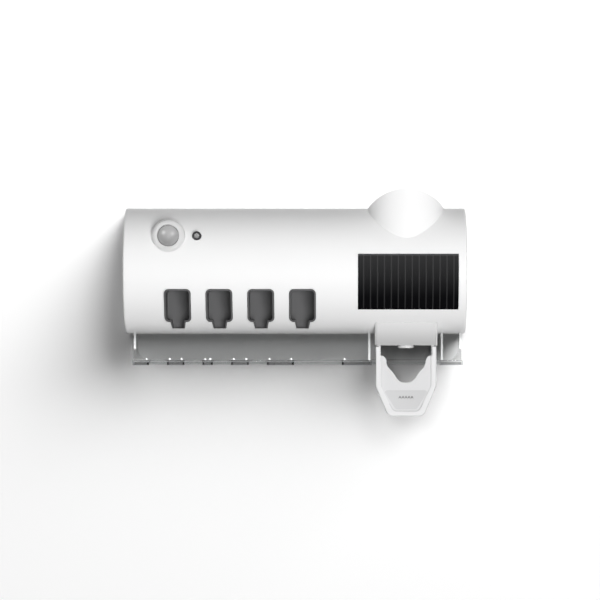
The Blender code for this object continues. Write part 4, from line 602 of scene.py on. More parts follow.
def paint(obj, material):
    """Gives a mesh one material and no other."""
    obj.data.materials.clear()
    obj.data.materials.append(material)


def piece(obj, material, body, slot, *nodes):
    """Gives a finished piece its material, its body and the solids that it stands for."""
    paint(obj, material)
    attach(obj, body)
    if nodes:
        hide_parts(*nodes)
    return obj


# Housing

def housing_bar(name, inset, rear_y, half):
    """The housing's section drawn in by inset: a rod halved, and its flat back drawn out."""
    body = rod(name, BODY_RADIUS - inset, (-half, AXIS_Y, 0), (half, AXIS_Y, 0), BODY_STEPS)
    edit(body)
    slice_off((0, AXIS_Y, 0), (0, 1, 0))
    pick(body, "FACE", lambda face: face.normal.y > ALONG_SHARE)
    pull(y=rear_y - AXIS_Y)
    pick(body, "EDGE", level_seam)
    bpy.ops.mesh.dissolve_edges(use_verts=False)
    return done(body)


def housing_solid(name, inset, rear_y):
    """The housing's outside drawn in by inset, its two ends rounded."""
    half = BODY_LENGTH / 2 - inset
    body = housing_bar(name, inset, rear_y, half)
    edit(body)

    def rim(edge):
        level = all(abs(abs(vert.co.x) - half) < MERGE_DISTANCE for vert in edge.verts)
        return level and middle(edge).y < rear_y - MERGE_DISTANCE and not along(edge, 0)

    pick(body, "EDGE", rim)
    round_off(max(END_ROUND - inset, HOLLOW_ROUND), END_STEPS)
    return done(body)


def collar_rod(name, radius):
    """An upright rod at the collar, from inside the housing to past the arch."""
    base, top = [(DISPENSER_X, COLLAR_Y, z) for z in (COLLAR_BASE_Z, COLLAR_OVER_Z)]
    return rod(name, radius, base, top, COLLAR_STEPS)


def under_arch(obj, inset):
    """Keeps what lies under the arch that runs front to back over the collar, drawn in by inset."""
    reach = COLLAR_RADIUS + OVERRUN
    front, back = [(DISPENSER_X, COLLAR_Y + side * reach, ARCH_CENTRE_Z) for side in (-1, 1)]
    return keep_common(obj, rod("arch", ARCH_RADIUS - inset, front, back, ARCH_STEPS))


def collar_solid(name, inset):
    """The collar: an upright cylinder cut off by the arch."""
    return under_arch(collar_rod(name, COLLAR_RADIUS - inset), inset)


def apron_solid(name, inset, bottom_z):
    """The apron: a box with rounded corners whose face curves back towards its lower edge."""
    half = APRON_WIDTH / 2 - inset
    low = (DISPENSER_X - half, APRON_FRONT_Y + inset, bottom_z)
    high = (DISPENSER_X + half, APRON_REAR_Y - inset, APRON_TOP_Z)
    apron = rounded_bar(name, low, high, APRON_ROUND - inset / 2, 2, APRON_ROUND_STEPS)
    edit(apron)
    for i in range(1, APRON_LEVELS):
        level = APRON_TOP_Z + (bottom_z - APRON_TOP_Z) * i / APRON_LEVELS
        bpy.ops.mesh.select_all(action="SELECT")
        bpy.ops.mesh.bisect(plane_co=(0, 0, level), plane_no=(0, 0, 1))
    for i in range(1, APRON_LEVELS + 1):
        level = APRON_TOP_Z + (bottom_z - APRON_TOP_Z) * i / APRON_LEVELS
        fallen = (APRON_TOP_Z - level) / (APRON_TOP_Z - APRON_BOTTOM_Z)
        pick(apron, "VERT", lambda v: abs(v.co.z - level) < GAP and v.co.y < AXIS_Y)
        bpy.ops.transform.translate(value=(0, APRON_LEAN * fallen**2, 0))
    return done(apron)


def facing(obj, place=EYE_PLACE):
    """Turns a piece made about Z so that Z points out of the housing's face, at the eye or elsewhere."""
    return set_at(obj, place, (QUARTER_TURN - FACE_TILT, 0, 0))


def eye_boss():
    """The round boss under the eye, its outer edge rounded over."""
    boss = rod("boss", EYE_BOSS_RADIUS, (0, 0, -EYE_LENS_RADIUS - OVERRUN), (0, 0, 0), TURN_STEPS)
    edit(boss, "EDGE")
    pick(boss, "EDGE", lambda edge: all(abs(vert.co.z) < MERGE_DISTANCE for vert in edge.verts))
    round_off(EYE_BOSS_ROUND, EYE_BOSS_STEPS)
    done(boss)
    return facing(boss)


def bay_middles():
    """Each bay's middle, as x."""
    return [BAY_FIRST_X + BAY_PITCH * i for i in range(BAY_COUNT)]


def bay_block(name, clear, front_y, back_y):
    """A bay's outline as a block, grown by clear."""
    low = (-BAY_WIDTH / 2 - clear, front_y, BAY_BOTTOM_Z - clear)
    high = (BAY_WIDTH / 2 + clear, back_y, BAY_TOP_Z + clear)
    return rounded_bar(name, low, high, BAY_CORNER + clear, 1, CORNER_STEPS)


def neck_block(name, clear, front_y, back_y, top_z, bottom_z):
    """The tapered block of the slot under a bay, grown by clear."""
    taper = (NECK_TOP_WIDTH - NECK_BOTTOM_WIDTH) / 2 / NECK_DROP
    top = NECK_TOP_WIDTH / 2 + clear + taper * (top_z - BAY_BOTTOM_Z)
    bottom = NECK_TOP_WIDTH / 2 + clear - taper * (BAY_BOTTOM_Z - bottom_z)
    neck = bar(name, (-top, front_y, bottom_z), (top, back_y, top_z))
    edit(neck, "VERT")
    pick(neck, "VERT", lambda vert: vert.co.z < bottom_z + MERGE_DISTANCE)
    bpy.ops.transform.resize(value=(bottom / top, 1, 1), center_override=(0, 0, bottom_z))
    return done(neck)


def sector(name, low_radius, high_radius, clear):
    """A plate of the solar panel's outline that follows the housing's curve."""
    half = SOLAR_LENGTH / 2 + clear
    left, right = SOLAR_X - half, SOLAR_X + half
    plate = rod(name, high_radius, (left, AXIS_Y, 0), (right, AXIS_Y, 0), BODY_STEPS)
    core = rod("core", low_radius, (left - OVERRUN, AXIS_Y, 0), (right + OVERRUN, AXIS_Y, 0), BODY_STEPS)
    carve(plate, core)
    edit(plate)
    for edge_z, side in ((SOLAR_TOP_Z + clear, 1), (SOLAR_BOTTOM_Z - clear, -1)):
        lift = math.asin(edge_z / BODY_RADIUS)
        slice_off((0, AXIS_Y, 0), (0, side * math.sin(lift), side * math.cos(lift)))
    return done(plate)


def front_openings():
    """Tools for the openings seen from the front."""
    front_y = AXIS_Y - BODY_RADIUS - OVERRUN
    tools = []
    for x in bay_middles():
        opening = bay_block("opening", GAP, front_y, BAY_BACK_Y)
        neck = neck_block("neck", GAP, front_y, BAY_BACK_Y, BAY_BOTTOM_Z + OVERRUN, NECK_BOTTOM_Z - GAP)
        tools += [set_at(opening, (x, 0, 0)), set_at(neck, (x, 0, 0))]
    low, high = (0, 0, -EYE_LENS_RADIUS), (0, 0, OVERRUN)
    lens_hole = rod("lens_hole", EYE_LENS_RADIUS + GAP, low, high, TURN_STEPS)
    tools.append(facing(lens_hole))
    deep = (0, 0, -INDICATOR_LENGTH - OVERRUN)
    light_hole = rod("light_hole", INDICATOR_RADIUS + GAP, deep, (0, 0, OVERRUN))
    tools.append(facing(light_hole, INDICATOR_PLACE))
    tools.append(sector("recess", BODY_RADIUS - SOLAR_RECESS, BODY_RADIUS + OVERRUN, GAP))
    wire_x, wire_z = SOLAR_X + SOLAR_LENGTH / 4, (SOLAR_TOP_Z + SOLAR_BOTTOM_Z) / 2
    tools.append(rod("wire", WIRE_HOLE_RADIUS, (wire_x, AXIS_Y, wire_z), (wire_x, front_y, wire_z)))
    tools.append(collar_rod("mouth", MOUTH_RADIUS))
    return tools


def tab_block(name, x, clear, low_z, high_z):
    """A tab of the rack, or the slot that takes it."""
    low = (x - TAB_WIDTH / 2 - clear, RACK_BACK_WALL_Y - TAB_THICKNESS / 2 - clear, low_z)
    high = (x + TAB_WIDTH / 2 + clear, RACK_BACK_WALL_Y + TAB_THICKNESS / 2 + clear, high_z)
    return bar(name, low, high)


def tab_middles():
    """Each of the rack's tabs' middle, as x."""
    return [RACK_X + share * RACK_LENGTH for share in TAB_PLACE_SHARES]


def post_places():
    """The cover's screw posts as (x, z)."""
    return [(x, side * POST_Z) for x in (-POST_X, POST_MIDDLE_X, POST_X) for side in (-1, 1)]


def screw_places():
    """The back plate's screws as (x, z)."""
    return post_places() + WEB_SCREW_PLACES


def other_openings():
    """Tools for the openings out of the camera's sight."""
    outer_x, inner_x = -BODY_LENGTH / 2 - OVERRUN, COVER_WALL + OVERRUN - BODY_LENGTH / 2
    reach = APRON_WIDTH / 2 - COVER_WALL + PIVOT_SEAT + GAP
    seats = [(DISPENSER_X + side * reach, PIVOT_Y, PIVOT_Z) for side in (-1, 1)]
    half_y, half_z = PORT_THICKNESS / 2 + GAP, PORT_WIDTH / 2 + GAP
    low, high = (outer_x, PORT_Y - half_y, PORT_Z - half_z), (inner_x, PORT_Y + half_y, PORT_Z + half_z)
    low_z, high_z = -BODY_RADIUS - OVERRUN, COVER_WALL + OVERRUN - BODY_RADIUS
    return [
        rod("seats", PIVOT_RADIUS + GAP, *seats),
        rod("key_hole", KEY_RADIUS + GAP, (outer_x, KEY_Y, KEY_Z), (inner_x, KEY_Y, KEY_Z)),
        rounded_bar("port_hole", low, high, PORT_CORNER + GAP, 0, HIDDEN_CORNER_STEPS),
    ] + [tab_block("tab_slot", x, GAP, low_z, high_z) for x in tab_middles()]


def front_cover(material):
    """The moulded shell: half-round bar, collar, apron and eye boss in one, hollow from behind."""
    cover = housing_solid("cover_shell", 0, REAR_Y)
    unite(cover, collar_solid("collar", 0), apron_solid("apron", 0, APRON_BOTTOM_Z), eye_boss())
    hollow = housing_solid("hollow", COVER_WALL, OVERRUN)
    low, high = (0, 0, -EYE_LENS_RADIUS - 2 * OVERRUN), (0, 0, -COVER_WALL)
    bore = facing(rod("bore", EYE_BOSS_RADIUS - COVER_WALL, low, high))
    unite(
        hollow, collar_solid("collar_hollow", COVER_WALL),
        apron_solid("apron_hollow", COVER_WALL, APRON_BOTTOM_Z - OVERRUN), bore,
    )
    carve(cover, hollow)
    rear_y = PLATE_FRONT_Y - GAP
    for x, z in post_places():
        unite(cover, rod("post", POST_RADIUS, (x, rear_y, z), (x, rear_y - POST_LENGTH, z), THIN_ROD_STEPS))
        bottom = (x, rear_y - SCREW_LENGTH, z)
        carve(cover, rod("pilot", SCREW_RADIUS + GAP, (x, 0, z), bottom, THIN_ROD_STEPS))
    carve(cover, *front_openings())
    carve(cover, *other_openings())
    smooth(cover)
    piece(cover, material, "housing", "cover_white", "front_cover")


def bay_pockets(material):
    """The four grey pockets, each with a slotted guide below, trimmed to the housing's curve."""
    front_y = AXIS_Y - BODY_RADIUS
    bay = bay_block("bay_pocket_1", 0, front_y, BAY_BACK_Y)
    unite(bay, neck_block("guide", 0, front_y, BAY_BACK_Y, BAY_BOTTOM_Z + BAY_CORNER, NECK_BOTTOM_Z))
    keep_common(bay, housing_bar("trim", BAY_SINK, REAR_Y, BAY_WIDTH))
    floor_y = BAY_BACK_Y - BAY_WALL
    low = (BAY_WALL - BAY_WIDTH / 2, front_y - OVERRUN, BAY_BOTTOM_Z + BAY_WALL)
    high = (BAY_WIDTH / 2 - BAY_WALL, floor_y, BAY_TOP_Z - BAY_WALL)
    cavity = rounded_bar("cavity", low, high, BAY_CORNER - BAY_WALL, 1, CORNER_STEPS)
    round_rim(cavity, 1, floor_y, BAY_FLOOR_FILLET, FINE_EDGE_STEPS)
    slot_top, slot_bottom = BAY_BOTTOM_Z + 2 * BAY_WALL, NECK_BOTTOM_Z - OVERRUN
    slot = neck_block("slot", -NECK_WALL, front_y - OVERRUN, floor_y, slot_top, slot_bottom)
    low, high = [(0, LAMP_Y, BAY_TOP_Z + side * OVERRUN) for side in (-1, 1)]
    window = rod("window", LAMP_WINDOW_RADIUS, low, high)
    carve(bay, cavity, slot, window)
    smooth(bay)
    bays = [bay] + [copy_of(bay, f"bay_pocket_{i + 1}") for i in range(1, BAY_COUNT)]
    for i, (pocket, x) in enumerate(zip(bays, bay_middles())):
        set_at(pocket, (x, 0, 0))
        piece(pocket, material, "housing", "bay_grey", f"brush_bay_{i + 1}")


def eye_lens(material):
    """The sensor's domed cap with its flange behind the boss face."""
    sphere = (EYE_LENS_RADIUS**2 + EYE_LENS_RISE**2) / (2 * EYE_LENS_RISE)
    centre = EYE_LENS_RISE - sphere
    flange_top = -COVER_WALL - GAP
    flange_low = flange_top - EYE_FLANGE_THICKNESS
    bore, inner = EYE_LENS_RADIUS - EYE_LENS_WALL, sphere - EYE_LENS_WALL
    outer_end, inner_start = math.acos(EYE_LENS_RADIUS / sphere), math.acos(bore / inner)
    outer_arc = arc((0, centre), sphere, QUARTER_TURN, outer_end, EYE_LENS_STEPS)
    inner_arc = arc((0, centre), inner, inner_start, QUARTER_TURN, EYE_LENS_INNER_STEPS)
    flange = [
        (EYE_LENS_RADIUS, flange_top), (EYE_LENS_RADIUS + EYE_FLANGE, flange_top),
        (EYE_LENS_RADIUS + EYE_FLANGE, flange_low), (bore, flange_low),
    ]
    lens = turned("eye_dome", outer_arc + flange + inner_arc)
    smooth(facing(lens))
    return piece(lens, material, "housing", "frosted_lens", "eye_lens")


def indicator(dark, clear):
    """A dark ring with a small domed lens in it."""
    radius, wall = INDICATOR_RADIUS, INDICATOR_WALL
    lip = arc((radius - wall / 2, -wall / 2), wall / 2, 0, math.pi, INDICATOR_LIP_STEPS)
    foot = [(radius - wall, -INDICATOR_LENGTH), (radius, -INDICATOR_LENGTH)]
    ring = turned("indicator_ring", foot + lip, True)
    smooth(facing(ring, INDICATOR_PLACE))
    piece(ring, dark, "housing", "dark_bezel", "indicator_bezel")
    lens_radius = radius - wall - GAP
    quarter = arc((0, 0), 1, 0, QUARTER_TURN, INDICATOR_DOME_STEPS)
    dome = [(lens_radius * across, INDICATOR_DOME * (up - 1)) for across, up in quarter]
    lens = turned("indicator_light", [(0, -INDICATOR_LENGTH), (lens_radius, -INDICATOR_LENGTH)] + dome)
    smooth(facing(lens, INDICATOR_PLACE))
    return piece(lens, clear, "housing", "clear_lens", "indicator_lens")


def solar_panel(material):
    """The curved panel, a little proud of the housing's face."""
    plate = sector("solar_sheet", BODY_RADIUS - SOLAR_RECESS + GAP, BODY_RADIUS + SOLAR_PROUD, 0)
    smooth(plate)
    piece(plate, material, "housing", "solar_film", "solar_panel")


def back_plate(material):
    """The flat lid behind the housing, with hook slots, screw holes and board posts."""
    inset = COVER_WALL + GAP
    low = (inset - BODY_LENGTH / 2, PLATE_FRONT_Y, inset - BODY_RADIUS)
    high = (BODY_LENGTH / 2 - inset, PLATE_REAR_Y, BODY_RADIUS - inset)
    plate = rounded_bar("rear_lid", low, high, PLATE_CORNER, 1, HIDDEN_CORNER_STEPS)
    round_rim(plate, 1, PLATE_REAR_Y, PLATE_EDGE, EDGE_STEPS)
    for x, z in BOARD_POST_PLACES:
        root, tip = (x, PLATE_FRONT_Y + GAP, z), (x, BOARD_POST_Y, z)
        unite(plate, rod("post", BOARD_POST_RADIUS, root, tip, THIN_ROD_STEPS))
    for x, z in screw_places():
        behind, front = (x, 0, z), (x, PLATE_FRONT_Y - OVERRUN, z)
        carve(plate, rod("hole", SCREW_RADIUS + GAP, behind, front, THIN_ROD_STEPS))
    half = HOOK_WIDTH / 2 + 2 * GAP
    for side in (-1, 1):
        x = side * HOOK_X
        low = (x - half, PLATE_FRONT_Y - OVERRUN, HOOK_SLOT_LOW_Z)
        high = (x + half, PLATE_REAR_Y + OVERRUN, HOOK_ARM_TOP_Z + GAP)
        carve(plate, bar("slot", low, high))
    smooth(plate)
    piece(plate, material, "housing", "inner_white", "back_plate")


def plate_screws(material):
    """Pan-head screws with a cross recess, driven in from behind."""
    head, height = SCREW_HEAD_RADIUS, SCREW_HEAD_HEIGHT
    rim = SCREW_RIM_SHARE
    quarter = arc((0, 0), 1, 0, QUARTER_TURN, SCREW_HEAD_STEPS)
    dome = [(head * across, -height * (rim + (1 - rim) * up)) for across, up in quarter]
    profile = [
        (0, SCREW_LENGTH), (SCREW_RADIUS / 2, SCREW_LENGTH), (SCREW_RADIUS, SCREW_LENGTH - SCREW_RADIUS),
        (SCREW_RADIUS, 0), (head, 0),
    ] + dome
    first = turned("screw_1", profile, steps=SCREW_STEPS)
    for wide, narrow in ((head, SCREW_SLOT), (SCREW_SLOT, head)):
        low = (-wide / 2, -narrow / 2, -height - OVERRUN)
        carve(first, bar("slot", low, (wide / 2, narrow / 2, -height / 2)))
    smooth(set_at(first, (0, 0, 0), (QUARTER_TURN, 0, 0)))
    places = screw_places()
    screws = [first] + [copy_of(first, f"screw_{i + 2}") for i in range(len(places) - 1)]
    for i, (screw, (x, z)) in enumerate(zip(screws, places)):
        set_at(screw, (x, PLATE_REAR_Y, z))
        piece(screw, material, "housing", "metal", f"plate_screw_{i + 1}")


def wall_bumpers(material):
    """The two soft pads that keep the housing upright against the wall."""
    for i, side in enumerate((-1, 1)):
        x = side * BUMPER_X
        pad = rod(f"bumper_{i + 1}", BUMPER_RADIUS, (x, PLATE_REAR_Y + GAP, BUMPER_Z), (x, 0, BUMPER_Z))
        round_rim(pad, 1, 0, BUMPER_EDGE, FINE_EDGE_STEPS)
        smooth(pad)
        piece(pad, material, "housing", "silicone", f"wall_bumper_{i + 1}")


def wall_bracket(material):
    """The plate that stays on the wall, with two hooks that turn up behind the back plate."""
    half_x, half_z = BRACKET_LENGTH / 2, BRACKET_HEIGHT / 2
    low, high = (-half_x, BRACKET_FRONT_Y, -half_z), (half_x, BRACKET_REAR_Y, half_z)
    bracket = rounded_bar("hanger", low, high, BRACKET_CORNER, 1, CORNER_STEPS)
    round_rim(bracket, 1, BRACKET_FRONT_Y, BRACKET_EDGE, EDGE_STEPS)
    root_y = (BRACKET_FRONT_Y + BRACKET_REAR_Y) / 2
    slope = HOOK_LIP_THICKNESS / 2
    front_y, top_z = HOOK_LIP_Y - HOOK_LIP_THICKNESS, HOOK_ARM_TOP_Z + HOOK_LIP_RISE
    hook = [
        (root_y, HOOK_ARM_Z), (root_y, HOOK_ARM_TOP_Z), (HOOK_LIP_Y, HOOK_ARM_TOP_Z),
        (HOOK_LIP_Y, top_z - slope), (HOOK_LIP_Y - slope, top_z), (front_y, top_z),
        (front_y, HOOK_ARM_Z + slope), (front_y + slope, HOOK_ARM_Z),
    ]
    for side in (-1, 1):
        x = side * HOOK_X
        unite(bracket, drawn("hook", hook, "X", x - HOOK_WIDTH / 2, x + HOOK_WIDTH / 2))
    smooth(bracket)
    piece(bracket, material, "bracket", "inner_white", "wall_bracket")


def adhesive_sheet(material):
    """The foam tape between the bracket and the wall."""
    half_x, half_z = SHEET_LENGTH / 2, SHEET_HEIGHT / 2
    low, high = (-half_x, -SHEET_THICKNESS, -half_z), (half_x, 0, half_z)
    sheet = rounded_bar("mounting_pad", low, high, SHEET_CORNER, 1, CORNER_STEPS)
    smooth(sheet)
    piece(sheet, material, "bracket", "foam_tape", "adhesive_sheet")


def power_key(material):
    """The round key in the left end, its face rounded over and dished."""
    outer = BODY_LENGTH / 2 + KEY_PROUD
    flange_top = BODY_LENGTH / 2 - COVER_WALL - GAP
    flange_low = flange_top - KEY_FLANGE_THICKNESS
    edge = KEY_PROUD / 2
    flat = KEY_RADIUS - edge
    rim = arc((flat, outer - edge), edge, 0, QUARTER_TURN, KEY_RIM_STEPS)
    dish = [(share * flat, outer - KEY_DISH * (1 - share**2)) for share in KEY_DISH_SHARES]
    profile = [
        (0, flange_low), (KEY_RADIUS + KEY_FLANGE, flange_low), (KEY_RADIUS + KEY_FLANGE, flange_top),
        (KEY_RADIUS, flange_top),
    ] + rim + dish + [(0, outer - KEY_DISH)]
    key = set_at(turned("key_cap", profile, steps=ROD_STEPS), (0, KEY_Y, KEY_Z), (0, -QUARTER_TURN, 0))
    smooth(key)
    piece(key, material, "key", "bay_grey", "power_key")


def charging_port(material):
    """The port's metal shell with the contact tongue inside, its mouth in the left end wall."""
    mouth_x, wall = PORT_SINK - BODY_LENGTH / 2, PORT_WALL
    half_y, half_z = PORT_THICKNESS / 2, PORT_WIDTH / 2
    low = (mouth_x, PORT_Y - half_y, PORT_Z - half_z)
    high = (mouth_x + PORT_LENGTH, PORT_Y + half_y, PORT_Z + half_z)
    shell = rounded_bar("port_shell", low, high, PORT_CORNER, 0, CORNER_STEPS)
    low = (mouth_x - OVERRUN, low[1] + wall, low[2] + wall)
    high = (high[0] - wall, high[1] - wall, high[2] - wall)
    carve(shell, rounded_bar("bore", low, high, PORT_CORNER - wall, 0, CORNER_STEPS))
    reach = half_z - 3 * wall
    low = (mouth_x + PORT_SINK, PORT_Y - PORT_TONGUE / 2, PORT_Z - reach)
    high = (mouth_x + PORT_LENGTH - wall / 2, PORT_Y + PORT_TONGUE / 2, PORT_Z + reach)
    tongue = bar("tongue", low, high)
    round_rim(tongue, 0, low[0], PORT_TONGUE / 4, PORT_TONGUE_STEPS)
    unite(shell, tongue)
    smooth(shell)
    piece(shell, material, "housing", "metal", "charging_port")


def pivot_pin(material):
    """The lever's steel pin, its two ends rounded over."""
    reach = APRON_WIDTH / 2 - COVER_WALL + PIVOT_SEAT
    left, right = [(DISPENSER_X + side * reach, PIVOT_Y, PIVOT_Z) for side in (-1, 1)]
    pin = rod("hinge_pin", PIVOT_RADIUS, left, right, PIVOT_STEPS)
    for end in (left, right):
        round_rim(pin, 0, end[0], PIVOT_RADIUS / 4, EDGE_STEPS)
    smooth(pin)
    piece(pin, material, "housing", "metal", "pivot_pin")


# Dispenser

def feed_socket(material):
    """The funnel in the collar's mouth and the cup below it."""
    mouth_z = COLLAR_OVER_Z
    base_z = SOCKET_FLOOR_Z - SOCKET_FLOOR
    throat_z = SOCKET_FLOOR_Z + SEAL_HEIGHT + 2 * GAP + SOCKET_WALL
    outer_throat = FUNNEL_THROAT_RADIUS + SOCKET_WALL
    profile = [
        (0, base_z), (outer_throat, base_z), (outer_throat, throat_z),
        (FUNNEL_RADIUS, BODY_RADIUS - COVER_WALL), (FUNNEL_RADIUS, mouth_z), (0, mouth_z),
    ]
    at = (DISPENSER_X, COLLAR_Y, 0)
    socket = set_at(turned("feed_funnel", profile, steps=COLLAR_STEPS), at)
    under_arch(socket, FUNNEL_SINK)
    inner_mouth = FUNNEL_RADIUS - FUNNEL_WALL
    inside = [
        (0, base_z - OVERRUN), (CHANNEL_RADIUS, base_z - OVERRUN), (CHANNEL_RADIUS, SOCKET_FLOOR_Z),
        (FUNNEL_THROAT_RADIUS, SOCKET_FLOOR_Z), (FUNNEL_THROAT_RADIUS, throat_z),
        (inner_mouth, BODY_RADIUS), (inner_mouth, mouth_z + OVERRUN), (0, mouth_z + OVERRUN),
    ]
    carve(socket, set_at(turned("inside", inside, steps=COLLAR_STEPS), at))
    smooth(socket)
    piece(socket, material, "housing", "inner_white", "feed_socket")


def mouth_seal(material):
    """The soft ring on the socket's floor, with a lip inside at half its height."""
    low = SOCKET_FLOOR_Z + GAP
    level = low + SEAL_HEIGHT / 2
    outer = FUNNEL_THROAT_RADIUS - GAP
    profile = [
        (SEAL_BORE_RADIUS + SEAL_LIP, low), (outer, low), (outer, low + SEAL_HEIGHT),
        (outer - SEAL_LIP, low + SEAL_HEIGHT), (SEAL_BORE_RADIUS + 2 * SEAL_LIP, level),
        (SEAL_BORE_RADIUS, level), (SEAL_BORE_RADIUS, level - SEAL_LIP / 2),
    ]
    seal = set_at(turned("seal_ring", profile, True), (DISPENSER_X, COLLAR_Y, 0))
    smooth(seal)
    piece(seal, material, "housing", "silicone", "mouth_seal")


def nozzle(material):
    """The outlet cap, its face just below the apron's edge."""
    top, low = NOZZLE_TOP_Z, NOZZLE_BOTTOM_Z
    edge = NOZZLE_EDGE
    profile = [(NOZZLE_BORE_RADIUS, top)]
    profile += arc((NOZZLE_RADIUS - edge, top - edge), edge, QUARTER_TURN, 0, FINE_EDGE_STEPS)
    profile += arc((NOZZLE_RADIUS - edge, low + edge), edge, 0, -QUARTER_TURN, FINE_EDGE_STEPS)
    profile += [(NOZZLE_BORE_RADIUS + NOZZLE_CUP, low), (NOZZLE_BORE_RADIUS, low + NOZZLE_CUP)]
    cap = set_at(turned("nozzle_cap", profile, True), (DISPENSER_X, COLLAR_Y, 0))
    smooth(cap)
    piece(cap, material, "housing", "milky_plastic", "nozzle")


# Push lever

def lever_outline(inset):
    """The lever's face outline about its own middle: legs, a taper and a rounded toe."""
    half = LEVER_WIDTH / 2 - inset
    knee_z = LEVER_TOP_Z - LEVER_STRAIGHT
    toe_half = LEVER_TOE_WIDTH / 2 - inset
    toe_z = LEVER_TOE_Z + inset
    corner = LEVER_TOE_ROUND - inset / 2
    lean = math.atan2(half - toe_half, knee_z - toe_z)
    reach = corner * math.tan((QUARTER_TURN - lean) / 2)
    toe = arc((toe_half - reach, toe_z + corner), corner, -lean, -QUARTER_TURN, LEVER_TOE_STEPS)
    right = [(half, LEVER_TOP_Z), (half, knee_z)] + toe
    return right + [(-x, z) for x, z in reversed(right)]


def scoop_outline():
    """The space between the legs, down to the scooped edge, as a smooth curve through its shares."""
    half = LEVER_WIDTH / 2 - LEVER_RIM
    marks = [Vector((half * across, LEVER_TOP_Z - LEVER_LENGTH * down)) for across, down in SCOOP_SHARES]
    marks = [2 * marks[0] - marks[1]] + marks + [Vector((-marks[-2].x, marks[-2].y))]
    right = []
    for i in range(1, len(marks) - 2):
        before, start, end, after = marks[i - 1:i + 3]
        for j in range(SCOOP_FINENESS):
            t = j / SCOOP_FINENESS
            slow = 2 * start + (end - before) * t + (2 * before - 5 * start + 4 * end - after) * t**2
            right.append((slow + (3 * start - before - 3 * end + after) * t**3) / 2)
    right = [(point.x, point.y) for point in right]
    left = [(-x, z) for x, z in reversed(right)]
    lowest = (0.0, LEVER_TOP_Z - LEVER_LENGTH * SCOOP_SHARES[-1][1])
    top = LEVER_TOP_Z + OVERRUN
    return [(-right[0][0], top), (right[0][0], top)] + right + [lowest] + left


def pad_outline(inset):
    """The press pad: the lever's outline drawn in, cut off level below the scoop, its corners rounded."""
    knee, *toe = [pair for pair in lever_outline(inset) if pair[0] > 0][1:]
    share = (knee[1] - PRESS_PAD_TOP_Z) / (knee[1] - toe[0][1])
    top_half = knee[0] + (toe[0][0] - knee[0]) * share
    corner = PRESS_PAD_CORNER
    centre = (top_half - corner, PRESS_PAD_TOP_Z - corner)
    top = arc(centre, corner, QUARTER_TURN, 0, PRESS_PAD_CORNER_STEPS)
    lower = [pair for pair in toe if pair[1] < PRESS_PAD_TOP_Z - corner]
    right = top + lower
    return right + [(-x, z) for x, z in reversed(right)]


def push_lever(material):
    """The framed scoop with its dished pad, two arms up inside the apron and the bar between them."""
    lever = drawn("lever_scoop", lever_outline(0), "Y", LEVER_FRONT_Y, LEVER_REAR_Y)
    for level in (LEVER_FRONT_Y, LEVER_REAR_Y):
        round_rim(lever, 1, level, LEVER_EDGE_ROUND, LEVER_EDGE_STEPS)
    panel_rear_y = PANEL_FRONT_Y + LEVER_PANEL
    inside = [(x, z + OVERRUN) if z == LEVER_TOP_Z else (x, z) for x, z in lever_outline(LEVER_RIM)]
    face = drawn("face", inside, "Y", LEVER_FRONT_Y - OVERRUN, PANEL_FRONT_Y)
    round_rim(
        face, 1, PANEL_FRONT_Y, LEVER_FACE_FILLET, LEVER_EDGE_STEPS, lambda at: at.z > PRESS_PAD_TOP_Z
    )
    back = drawn("back", inside, "Y", panel_rear_y, LEVER_REAR_Y + OVERRUN)
    scoop = drawn("scoop", scoop_outline(), "Y", LEVER_FRONT_Y - OVERRUN, LEVER_REAR_Y + OVERRUN)
    relief_reach = LEVER_DEPTH + OVERRUN
    start_y, end_y = LEVER_FRONT_Y + LEVER_EDGE_ROUND, LEVER_FRONT_Y + relief_reach
    relief = drawn(
        "relief",
        [
            (start_y, LEVER_TOP_Z), (end_y, LEVER_TOP_Z - relief_reach * math.tan(LEVER_SWING)),
            (end_y, LEVER_TOP_Z + OVERRUN), (start_y, LEVER_TOP_Z + OVERRUN),
        ],
        "X", -LEVER_WIDTH, LEVER_WIDTH,
    )
    carve(lever, face, back, scoop, relief, lever_dish(), lever_groove())
    arm_outer = APRON_WIDTH / 2 - COVER_WALL - 2 * GAP
    arm_inner = arm_outer - LEVER_ARM_THICKNESS
    for side in (-1, 1):
        low, high = sorted((side * arm_inner, side * arm_outer))
        unite(lever, drawn("arm", arm_outline(), "X", low, high))
    bar_z = PIVOT_Z - LEVER_BAR_DROP
    low = (-arm_inner - GAP, PIVOT_Y - LEVER_BAR_THICKNESS / 2, bar_z - LEVER_BAR_HEIGHT / 2)
    high = (arm_inner + GAP, PIVOT_Y + LEVER_BAR_THICKNESS / 2, bar_z + LEVER_BAR_HEIGHT / 2)
    unite(lever, bar("bar", low, high))
    left, right = [(side * LEVER_WIDTH, PIVOT_Y, PIVOT_Z) for side in (-1, 1)]
    carve(lever, rod("hole", PIVOT_RADIUS + GAP, left, right))
    set_at(lever, (DISPENSER_X, 0, 0))
    smooth(lever)
    return piece(lever, material, "lever", "milky_plastic", "push_lever")


def push_marks(material):
    """Five small raised chevrons in the press pad, where the lever is pushed."""
    floor_y = PANEL_FRONT_Y + PRESS_PAD_SINK
    half, rise, stroke = MARK_WIDTH / 2, MARK_HEIGHT - MARK_STROKE, MARK_STROKE
    chevron = [(-half, 0), (0, rise), (half, 0), (half, stroke), (0, rise + stroke), (-half, stroke)]
    first = drawn("push_mark_1", chevron[::-1], "Y", floor_y - MARK_PROUD, floor_y + MARK_PROUD)
    smooth(first)
    marks = [first] + [copy_of(first, f"push_mark_{i + 1}") for i in range(1, MARK_COUNT)]
    for i, mark in enumerate(marks):
        x = DISPENSER_X + MARK_PITCH * (i - (MARK_COUNT - 1) / 2)
        piece(set_at(mark, (x, 0, MARK_Z)), material, "lever", "bay_grey")


